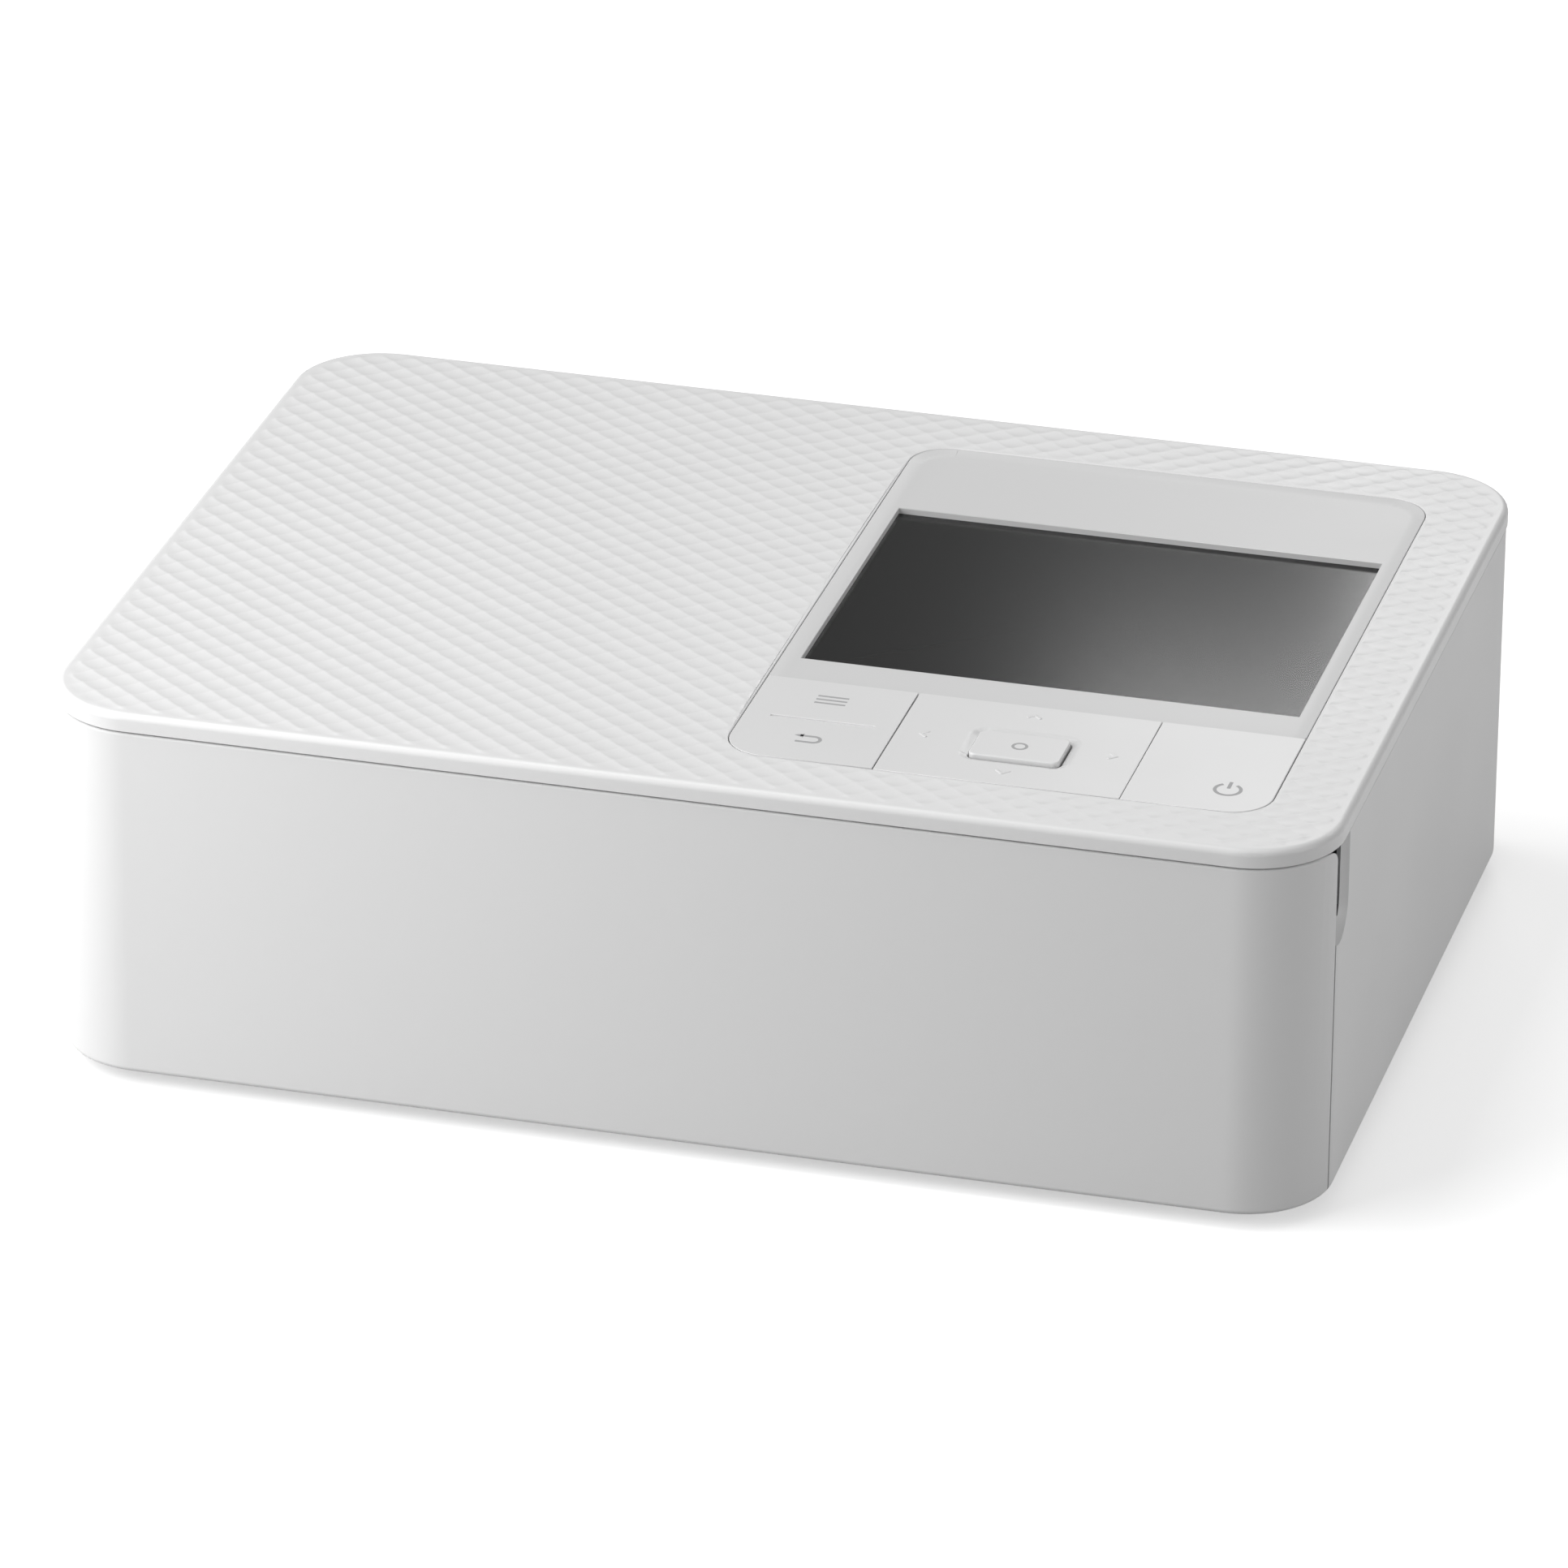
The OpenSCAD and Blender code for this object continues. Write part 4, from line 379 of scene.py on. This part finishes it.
# Glazed alumina is warm white and glossy. The heat sink shows die lines along its length.
glazed_alumina = moulded("glazed_alumina", "#DCD2BC", 0.14, grain=1.5, depth=0.0005, drift=0.04)
extruded_aluminium = metal("extruded_aluminium", "#C4C6C9", 0.35, (12, 0.3, 0.3))
dress(zinc_sheet, "head_arm")
dress(glazed_alumina, "thermal_head")
dress(extruded_aluminium, "head_heatsink")

# ---------------------------------------------------------------- ribbon cassette
# A dark grey ABS shell holds two white reels of thin polyester film. The film carries a panel
# of each dye in turn, and the used film on the take-up reel looks dark.

# Charcoal ABS with an eroded texture, and plain white ABS for the reels; both are satin.
cassette_abs = moulded("moulded_abs_charcoal", "#3A3C41", 0.42, depth=0.006)
reel_abs = moulded("moulded_abs_reel", "#E2E2DE", 0.4)
moulding("cassette_shell", "ink_cassette", cassette_abs, 0.12)
dress(reel_abs, "supply_spool", "takeup_spool")


def dyed_film(name, colours, panel, roughness=0.2):
    """Polyester film with dye panels: bands of colour, each panel mm long, along y and z."""
    material, tree, output = new_material(name)
    place = add(tree, "TexCoord").outputs["Object"]
    split = add(tree, "SeparateXYZ", links={0: place})
    way = add(tree, "Math", links={0: split.outputs["Y"], 1: split.outputs["Z"]}, operation="ADD")
    band = add(tree, "Math", {1: 1 / (panel * MM * len(colours))}, {0: way.outputs[0]},
               operation="MULTIPLY")
    turn = add(tree, "Math", links={0: band.outputs[0]}, operation="FRACT")
    ramp = add(tree, "ValToRGB", links={0: turn.outputs[0]})
    ramp.color_ramp.interpolation = "CONSTANT"
    ramp.color_ramp.elements.remove(ramp.color_ramp.elements[1])
    for k, colour in enumerate(colours):
        stop = ramp.color_ramp.elements[0] if k == 0 else ramp.color_ramp.elements.new(
            k / len(colours))
        stop.color = linear(colour)
    waves = add(tree, "TexNoise", {"Scale": 180.0, "Detail": 1.0}, {"Vector": place})
    skin = add(tree, "Bump", {"Strength": 1.0, "Distance": 0.05 * MM},
               {"Height": waves.outputs["Fac"]})
    body = add(tree, "BsdfPrincipled", {"Roughness": roughness, "IOR": 1.6},
               {"Base Color": ramp.outputs["Color"], "Normal": skin.outputs["Normal"]})
    tree.links.new(body.outputs[0], output.inputs["Surface"])
    return material


# Fresh film is glossy yellow, magenta and cyan in turn; used film is left brown-black.
fresh_film = dyed_film("dyed_polyester_film", ("#D9B425", "#C2357F", "#2B86B8"), 34)
wound_film = dyed_film("wound_dyed_film", ("#C9A21E", "#C4A020"), 3, roughness=0.3)
used_film = dyed_film("used_dyed_film", ("#3A2420", "#30222A"), 3, roughness=0.3)
dress(fresh_film, "ribbon_web")
dress(wound_film, "supply_roll")
dress(used_film, "takeup_roll")

# ---------------------------------------------------------------- electronics
# The main board is glass-epoxy laminate under green solder mask, with black moulded chips. The
# sockets at the case's edge have plated steel shells or black nylon bodies.


def solder_mask(name, hex_colour, track_hex):
    """Solder mask over copper tracks: a brick pattern of 1.2 mm gives the edges of the tracks."""
    material, tree, output = new_material(name)
    place = add(tree, "TexCoord").outputs["Object"]
    tracks = add(tree, "TexBrick", {"Scale": 1.0, "Mortar Size": 0.25 * MM, "Mortar Smooth": 0.2,
                                    "Brick Width": 9 * MM, "Row Height": 1.2 * MM,
                                    "Color1": linear(hex_colour), "Color2": linear(hex_colour),
                                    "Mortar": linear(track_hex)}, {"Vector": place})
    skin = add(tree, "Bump", {"Strength": 1.0, "Distance": 0.03 * MM},
               {"Height": tracks.outputs["Fac"]})
    body = add(tree, "BsdfPrincipled", {"Roughness": 0.25, "IOR": 1.5},
               {"Base Color": tracks.outputs["Color"], "Normal": skin.outputs["Normal"]})
    tree.links.new(body.outputs[0], output.inputs["Surface"])
    return material


# Solder mask is glossy and shows the tracks below it as paler lines. Moulded epoxy is a flat
# black, and the sockets' nylon a little glossier.
green_mask = solder_mask("green_solder_mask", "#1E5A34", "#2F7446")
chip_epoxy = moulded("moulded_epoxy_black", "#1C1C1D", 0.5)
socket_nylon = moulded("moulded_nylon_black", "#202022", 0.45)
dress(green_mask, "main_board", "key_board")
dress(chip_epoxy, "board_parts")
dress(socket_nylon, "dc_inlet", "card_socket")
dress(zinc_sheet, "usb_socket")

# ---------------------------------------------------------------- inner faces
# Behind the front cover a grey ABS fascia frames the paper slot, which a hinged shutter closes.
# Behind the ink door a second fascia frames the ribbon cassette, beside its eject lever.

# Pale grey ABS with a deep eroded texture; the shutter and the lever are dark grey and glossier.
fascia_abs = moulded("moulded_abs_fascia", "#C9CACC", 0.45, depth=0.006)
shutter_abs = moulded("moulded_abs_shutter", "#4A4C50", 0.42, depth=0.006)
lever_abs = moulded("moulded_abs_lever", "#5B6066", 0.38, depth=0.004)
moulding("front_fascia", "case", fascia_abs, 0.3)
moulding("side_fascia", "case", fascia_abs, 0.3)
moulding("slot_shutter", "slot_shutter", shutter_abs, 0.15)
moulding("eject_lever", "eject_lever", lever_abs, 0.12)

# ---------------------------------------------------------------- outer shells
# The left side and back are one white ABS moulding. The front cover and the ink door are hinged
# white ABS mouldings of the same wall, whose edges are rounded by about 0.25 mm.

# The walls' outline, and how near it a point is on it. The boxes, each given by two corners, hold
# the upright seams, the rounded upper corners of the front cover's returns and the finger notch.
WALL_HALF = np.array([90.9, 66.3])
WALL_R = 12.7
ON_WALL = 0.03
SEAM_BOX = (88, 55.6, 0), (92, 56.2, 60)
CORNER_BOX = (86, -58.3, 52), (92, -55.6, 60)
NOTCH_BOX = (88, -55.8, 37), (92, -49.2, 54.3)
FOOT_TOP = 6


def inside_by(points, low, high, radius):
    """How far points lie inside a rounded rectangle, negative outside it: the radius, less the
    distance to the smaller rectangle through the corners' centres, which is negative inside."""
    reach = np.abs(points - (low + high) / 2) - (high - low) / 2 + radius
    outer = np.hypot(*np.maximum(reach, 0).T)
    return radius - outer - np.minimum(reach.max(axis=1), 0)


def in_box(points, low, high):
    """Chooses the points in the box from its low corner to its high one."""
    return ((points > low) & (points < high)).all(axis=1)


def outside_face(points):
    """Chooses the points on the outer face of the walls, but for the seams, the returns' corners,
    the notch and the rounded foot. Those keep the CAD's edges, because a rounding would fold the
    narrow faces beside them."""
    x, y, z = points.T
    outermost = inside_by(points[:, :2], -WALL_HALF, WALL_HALF, WALL_R) < ON_WALL
    seam = in_box(np.abs(points), *SEAM_BOX)
    corner = in_box(np.stack([np.abs(x), y, z], 1), *CORNER_BOX)
    return outermost & ~seam & ~corner & ~in_box(points, *NOTCH_BOX) & (z > FOOT_TOP)


# White ABS with a fine spark-eroded texture, which makes it satin.
shell_abs = moulded("moulded_abs_white", "#E4E4E4", 0.46, depth=0.0022)
moulding("rear_housing", "case", shell_abs, 0.25, 2, outside_face)
moulding("front_cover", "front_cover", shell_abs, 0.3, 3, outside_face)
moulding("ink_door", "ink_door", shell_abs, 0.25, 2, outside_face)

# ---------------------------------------------------------------- top cover
# One white ABS moulding. Its mould is engraved with two sets of slanting grooves, which leave
# shallow diamond dishes with raised edges all over the top but for a smooth rim.

# The cover's outline and top, and the panel's opening, in mm. A dish is DISH_PITCH from corner to
# corner, and each set of ridges stands RIDGE_HEIGHT over its middle. The relief starts RIM_WIDTH
# and PANEL_GAP from the edges and has its full height RIM_FADE and PANEL_FADE further in.
COVER_HALF = np.array([91.1, 66.5])
COVER_R = 12.9
COVER_TOP = 57.4
PANEL_LOW = np.array([3.75, -55.25])
PANEL_HIGH = np.array([80.25, 54.25])
PANEL_R = 6.0
DISH_PITCH = np.array([5.17, 4.23])
RIDGE_PHASE = np.array([0.52, 0.04])
RIDGE_HEIGHT = 0.14
RIDGE_POINT = 0.02
MEAN_LEVEL = 0.6
RIM_WIDTH, RIM_FADE = 1.5, 0.8
PANEL_GAP, PANEL_FADE = 0.25, 0.5
RIDGE_COUNT = 60
RIDGE_SAMPLES = np.array([0.0, 0.07, 0.2, 0.4, 0.6, 0.8, 0.93])
ON_TOP = 0.02
SEWN_WITHIN = 0.0005 * MM
FACES_UP = 0.999
WITHIN_RIM, NET_TOLERANCE = 1, 1e-6


def smooth_step(t):
    """0 below 0, 1 above 1, and 3t² - 2t³ between."""
    t = np.clip(t, 0, 1)
    return t * t * (3 - 2 * t)


def ridge_coordinates(points):
    """Counts the ridges crossed on the way to points, by one set and by the other: y over its pitch
    plus x over its pitch, and y over its pitch minus x over its pitch, each less its phase."""
    across, along = (points / DISH_PITCH).T
    return np.stack([along + across, along - across], 1) - RIDGE_PHASE


def dish_height(points):
    """Height of the top over its mean plane, in mm.

    Each set of ridges gives (1 - 2t)², where t is the distance from the nearest ridge in
    pitches, as the root of its square plus RIDGE_POINT², which blunts the crest. The sum of the
    two sets, less MEAN_LEVEL, makes a diamond dish between four ridges.
    """
    ridges = ridge_coordinates(points)
    from_ridge = np.sqrt((ridges - np.round(ridges)) ** 2 + RIDGE_POINT ** 2)
    height = RIDGE_HEIGHT * (((1 - 2 * from_ridge) ** 2).sum(axis=1) - MEAN_LEVEL)
    from_rim = inside_by(points, -COVER_HALF, COVER_HALF, COVER_R)
    from_panel = -inside_by(points, PANEL_LOW, PANEL_HIGH, PANEL_R)
    return (height * smooth_step((from_rim - RIM_WIDTH) / RIM_FADE)
            * smooth_step((from_panel - PANEL_GAP) / PANEL_FADE))


def dish_samples():
    """Points in lines along the ridges, closest together at their crests, over the whole relief
    and a little way into the smooth rim and the gap beside the panel."""
    count = np.arange(-RIDGE_COUNT, RIDGE_COUNT + 1)
    lines = (count[:, None] + RIDGE_SAMPLES).ravel()
    u, v = [axis.ravel() for axis in np.meshgrid(lines + RIDGE_PHASE[0], lines + RIDGE_PHASE[1])]
    points = np.stack([(u - v) / 2, (u + v) / 2], 1) * DISH_PITCH
    within = inside_by(points, -COVER_HALF, COVER_HALF, COVER_R) > RIM_WIDTH - 0.2
    beside = inside_by(points, PANEL_LOW, PANEL_HIGH, PANEL_R) < -PANEL_GAP - 0.05
    return points[within & beside]


# The flat top's faces are taken out, and a net of triangles over the dishes is sewn into the gap.
cover_shape = merged_mesh("top_cover")
top_faces = [face for face in cover_shape.faces if face.normal.z > FACES_UP
             and abs(face.calc_center_median().z / MM - COVER_TOP) < ON_TOP]
top_set = set(top_faces)
rim_edges = [edge for edge in cover_shape.edges
             if sum(face in top_set for face in edge.link_faces) == 1]
rim_verts = dict.fromkeys(vert for edge in rim_edges for vert in edge.verts)
rim_place = {vert: k for k, vert in enumerate(rim_verts)}
rim_plan = np.array([vert.co.xy for vert in rim_place]) / MM
rim_pairs = [tuple(rim_place[vert] for vert in edge.verts) for edge in rim_edges]
bmesh.ops.delete(cover_shape, geom=top_faces, context="FACES")

# The net fills the rim with triangles. Those that span the panel's opening are left out.
plan = [Vector(point) for point in np.concatenate([rim_plan, dish_samples()])]
net_points, _, net_faces, *_ = delaunay_2d_cdt(plan, rim_pairs, [], WITHIN_RIM, NET_TOLERANCE)
net_plan = np.array([point[:] for point in net_points])
net_faces = np.array(net_faces)
net_middles = net_plan[net_faces].mean(axis=1)
net_faces = net_faces[inside_by(net_middles, PANEL_LOW, PANEL_HIGH, PANEL_R) < 0]
net_height = COVER_TOP + dish_height(net_plan)
net = mesh_object("top_net", np.column_stack([net_plan, net_height]) * MM, net_faces)
cover_shape.from_mesh(net.data)
bpy.data.meshes.remove(net.data)
bmesh.ops.remove_doubles(cover_shape, verts=cover_shape.verts, dist=SEWN_WITHIN)

# White ABS again, from a smoother mould: a little glossier than the walls.
top_abs = moulded("moulded_abs_patterned", "#E5E5E5", 0.4, depth=0.0015)
top_cover = smooth_piece("top_cover_moulding", cover_shape, top_abs)


def panel_rim(points):
    """Chooses the points on the upper edge of the panel's opening."""
    beside = np.abs(inside_by(points[:, :2], PANEL_LOW, PANEL_HIGH, PANEL_R)) < ON_WALL
    return beside & (points[:, 2] > COVER_TOP - ON_TOP)


soft_edges(top_cover, 0.12, panel_rim)
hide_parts("top_cover")
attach(top_cover, "case")

# ---------------------------------------------------------------- display
# A moulded polycarbonate bezel with a sloped rim is sunk flush into the cover. A clear acrylic
# window lies behind it, over the liquid-crystal module.

PANEL_LEVEL = 56.6


def panel_top(points):
    """Chooses the points on the upper side of the panel's pieces, over PANEL_LEVEL."""
    return points[:, 2] > PANEL_LEVEL


# Pale grey polycarbonate with a very fine texture.
bezel_pc = moulded("moulded_pc_bezel", "#D5D5D5", 0.4, depth=0.001)
moulding("display_bezel", "case", bezel_pc, 0.1, chosen=panel_top)

# Acrylic sheet with an anti-glare coat: clear, faintly grey, and blurring what it mirrors.
window_acrylic, window_tree, window_output = new_material("coated_acrylic_sheet")
window_place = add(window_tree, "TexCoord").outputs["Object"]
window_wave = add(window_tree, "TexNoise", {"Scale": 25.0, "Detail": 1.0},
                  {"Vector": window_place})
window_skin = add(window_tree, "Bump", {"Strength": 1.0, "Distance": 0.002 * MM},
                  {"Height": window_wave.outputs["Fac"]})
window_body = add(window_tree, "BsdfPrincipled",
                  {"Base Color": linear("#E8E8E8"), "Roughness": 0.2, "IOR": 1.49,
                   "Transmission Weight": 1.0},
                  {"Normal": window_skin.outputs["Normal"]})
window_tree.links.new(window_body.outputs[0], window_output.inputs["Surface"])
dress(window_acrylic, "display_window")

# The polariser over the dark liquid crystal is a satin film, which blurs what it mirrors.
lcd_film, lcd_tree, lcd_output = new_material("satin_polariser_film")
lcd_place = add(lcd_tree, "TexCoord").outputs["Object"]
lcd_grain = add(lcd_tree, "TexNoise", {"Scale": 1 / (0.2 * MM), "Detail": 1.0},
                {"Vector": lcd_place})
lcd_skin = add(lcd_tree, "Bump", {"Strength": 1.0, "Distance": 0.0006 * MM},
               {"Height": lcd_grain.outputs["Fac"]})
lcd_body = add(lcd_tree, "BsdfPrincipled",
               {"Base Color": linear("#161617"), "Roughness": 0.4, "IOR": 1.5,
                "Specular IOR Level": 0.05},
               {"Normal": lcd_skin.outputs["Normal"]})
lcd_tree.links.new(lcd_body.outputs[0], lcd_output.inputs["Surface"])
dress(lcd_film, "lcd_module")

# ---------------------------------------------------------------- keys
# Four flush key caps of white ABS rock or slide in a carrier. Each presses a steel dome on a
# small circuit board below.

# The caps come from a polished mould, so they are the glossiest white parts. The carrier is grey
# ABS, and the domes are thin stamped steel, plated a pale gold.
key_abs = moulded("moulded_abs_keys", "#E0E0E0", 0.33, depth=0.001)
carrier_abs = moulded("moulded_abs_carrier", "#B6B8BA", 0.5, depth=0.004)
dome_steel = metal("stamped_steel_domes", "#C8BE9C", 0.3, (0.5, 0.5, 0.5))
dress(carrier_abs, "key_carrier", "nav_tilt_ring")
dress(dome_steel, "key_domes")
moulding("menu_back_key", "menu_back_key", key_abs, 0.08, chosen=panel_top)
moulding("nav_key", "nav_key", key_abs, 0.08, chosen=panel_top)
moulding("ok_key", "ok_key", key_abs, 0.2, 3, panel_top)
moulding("power_key", "power_key", key_abs, 0.08, chosen=panel_top)

# ---------------------------------------------------------------- key marks
# The marks are pad-printed in grey ink: bars for the list of functions, a return arrow, a ring
# on the centre key and the standard power sign. Four small chevrons are moulded on the plate.

# Heights of the flat keys and of the centre key's crown, and the ink's thickness and its strokes'
# widths, in mm. The ring's ink stands RING_PROUD over the crown.
KEY_TOP = 57.4
CROWN_TOP = 57.6
INK = 0.012
RING_PROUD = 0.004
STROKE = 0.5
FINE_STROKE = 0.42


def carried(path, profile, closed=False):
    """Carries a profile along a flat path, mitred at its bends.

    profile is rows of (across, up) and path rows of (x, y, z), in mm. The section at a point
    stands on the line that halves the bend there, widened by one over the cosine of half of it.
    """
    path, profile = np.asarray(path, float), np.asarray(profile, float)
    step = np.diff(path[:, :2], axis=0, append=path[:1, :2])
    step /= np.hypot(*step.T)[:, None]
    back = np.roll(step, 1, axis=0)
    if not closed:
        step[-1] = back[-1]
        back[0] = step[0]
    middle = step + back
    middle /= np.hypot(*middle.T)[:, None]
    widen = 1 / (middle * step).sum(axis=1)
    side = np.stack([-middle[:, 1], middle[:, 0]], 1) * widen[:, None]
    n, m = len(path), len(profile)
    points = np.empty((n, m, 3))
    points[..., :2] = path[:, None, :2] + side[:, None] * profile[None, :, :1]
    points[..., 2] = path[:, None, 2] + profile[None, :, 1]
    i, j = np.meshgrid(np.arange(n if closed else n - 1), np.arange(m), indexing="ij")
    i2, j2 = (i + 1) % n, (j + 1) % m
    faces = np.stack([i * m + j, i2 * m + j, i2 * m + j2, i * m + j2], -1).reshape(-1, 4).tolist()
    if not closed:
        faces += [list(range(m)), list(range(n * m - 1, (n - 1) * m - 1, -1))]
    return points.reshape(-1, 3), faces


def marks(name, strokes, body, slot, material):
    """One piece made of several carried strokes, riding with the key that it is printed on."""
    points, faces, start = [], [], 0
    for stroke_points, stroke_faces in strokes:
        points.append(stroke_points)
        faces += [[start + corner for corner in face] for face in stroke_faces]
        start += len(stroke_points)
    made = mesh_object(name, np.concatenate(points) * MM, faces, smooth=False)
    shape = bmesh.new()
    shape.from_mesh(made.data)
    bmesh.ops.recalc_face_normals(shape, faces=shape.faces)
    shape.to_mesh(made.data)
    shape.free()
    made.data.materials.append(material)
    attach(made, body)
    return made


def arc(centre, radius, start, end, z, count=25):
    """Points on an arc from start to end, in degrees, at height z."""
    turn = np.radians(np.linspace(start, end, count))
    return np.column_stack([centre[0] + radius * np.cos(turn), centre[1] + radius * np.sin(turn),
                            np.full(count, z)])


def print_profile(width, proud=INK):
    """A flat layer of ink, whose underside is let into the key."""
    return [(-width / 2, -INK), (-width / 2, proud), (width / 2, proud), (width / 2, -INK)]


# A thin film of matt grey ink.
mark_ink = moulded("pad_printed_ink_grey", "#A9A9AA", 0.5, grain=0.2, depth=0.0005)
list_bars = [carried([(12.3, y, KEY_TOP), (16.7, y, KEY_TOP)], print_profile(FINE_STROKE))
             for y in (-34.15, -35.25, -36.35)]

# The return arrow runs back along ARROW_TOP, round a half circle and forward along ARROW_LOW. Its
# head is a flat prism of ink.
ARROW_TOP, ARROW_LOW = -47.35, -49.25
arrow_bend = arc((15.35, (ARROW_TOP + ARROW_LOW) / 2), (ARROW_TOP - ARROW_LOW) / 2, 90, -90, KEY_TOP)
arrow_hook = np.concatenate([[(13.3, ARROW_TOP, KEY_TOP)], arrow_bend, [(13.0, ARROW_LOW, KEY_TOP)]])
arrow_head = (np.array([(x, y, KEY_TOP + z) for z in (-INK, INK)
                        for x, y in ((12.45, ARROW_TOP), (13.75, ARROW_TOP + 0.62),
                                     (13.75, ARROW_TOP - 0.62))]),
              [(0, 1, 2), (5, 4, 3), (0, 3, 4, 1), (1, 4, 5, 2), (2, 5, 3, 0)])
marks("left_key_marks", list_bars + [carried(arrow_hook, print_profile(STROKE)), arrow_head],
      "menu_back_key", "key_plastic", mark_ink)
OK_CENTRE = (43.15, -43.0)
marks("centre_key_mark", [carried(arc(OK_CENTRE, 0.95, 0, 348.75, CROWN_TOP, 32),
                                  print_profile(FINE_STROKE, RING_PROUD), closed=True)],
      "ok_key", "key_plastic", mark_ink)
POWER_CENTRE = (73.5, -48.25)
power_x, power_y = POWER_CENTRE
marks("power_key_mark", [carried(arc(POWER_CENTRE, 1.78, 122, 418, KEY_TOP, 48),
                                 print_profile(STROKE)),
                         carried([(power_x, power_y + 0.35, KEY_TOP),
                                  (power_x, power_y + 2.45, KEY_TOP)], print_profile(STROKE))],
      "power_key", "key_plastic", mark_ink)

# A chevron has two arms, each CHEVRON_ARM along and across. It is a rib with a half-round crown
# CHEVRON_HIGH over the plate, and a foot let into the plate.
CHEVRON_ARM = 0.95
CHEVRON_HALF = 0.24
CHEVRON_HIGH = 0.1
CHEVRON_FOOT = 0.05
chevron_turn = np.radians(np.linspace(180, 0, 9))
chevron_profile = [(CHEVRON_HALF * np.cos(t), CHEVRON_HIGH * np.sin(t)) for t in chevron_turn] + [
    (CHEVRON_HALF, -CHEVRON_FOOT), (-CHEVRON_HALF, -CHEVRON_FOOT)]
chevrons = []
for tip, way in [((42.75, -32.3), (0, 1)), ((42.75, -51.7), (0, -1)), ((29.0, -42.25), (-1, 0)),
                 ((56.5, -42.25), (1, 0))]:
    tip, way = np.array(tip), np.array(way)
    across = np.array([-way[1], way[0]])
    chevrons.append(carried([(*(tip - CHEVRON_ARM * way + CHEVRON_ARM * across), KEY_TOP),
                             (*tip, KEY_TOP),
                             (*(tip - CHEVRON_ARM * way - CHEVRON_ARM * across), KEY_TOP)],
                            chevron_profile))
chevron_ribs = marks("chevron_ribs", chevrons, "nav_key", "key_plastic", key_abs)
chevron_ribs.data.polygons.foreach_set("use_smooth", [True] * len(chevron_ribs.data.polygons))
chevron_ribs.data.set_sharp_from_angle(angle=np.radians(SHARP_FROM))

# ---------------------------------------------------------------- screws
# Self-tapping screws are driven up through the base into the case's bosses, and others hold the
# frames. They are zinc-plated steel, dull and a little bluish, and have no thread or recess here.

screw_zinc = metal("zinc_plated_screws", "#A9ABAF", 0.35, (0.4, 0.4, 0.4))
dress(screw_zinc, "case_screws", "frame_screws")
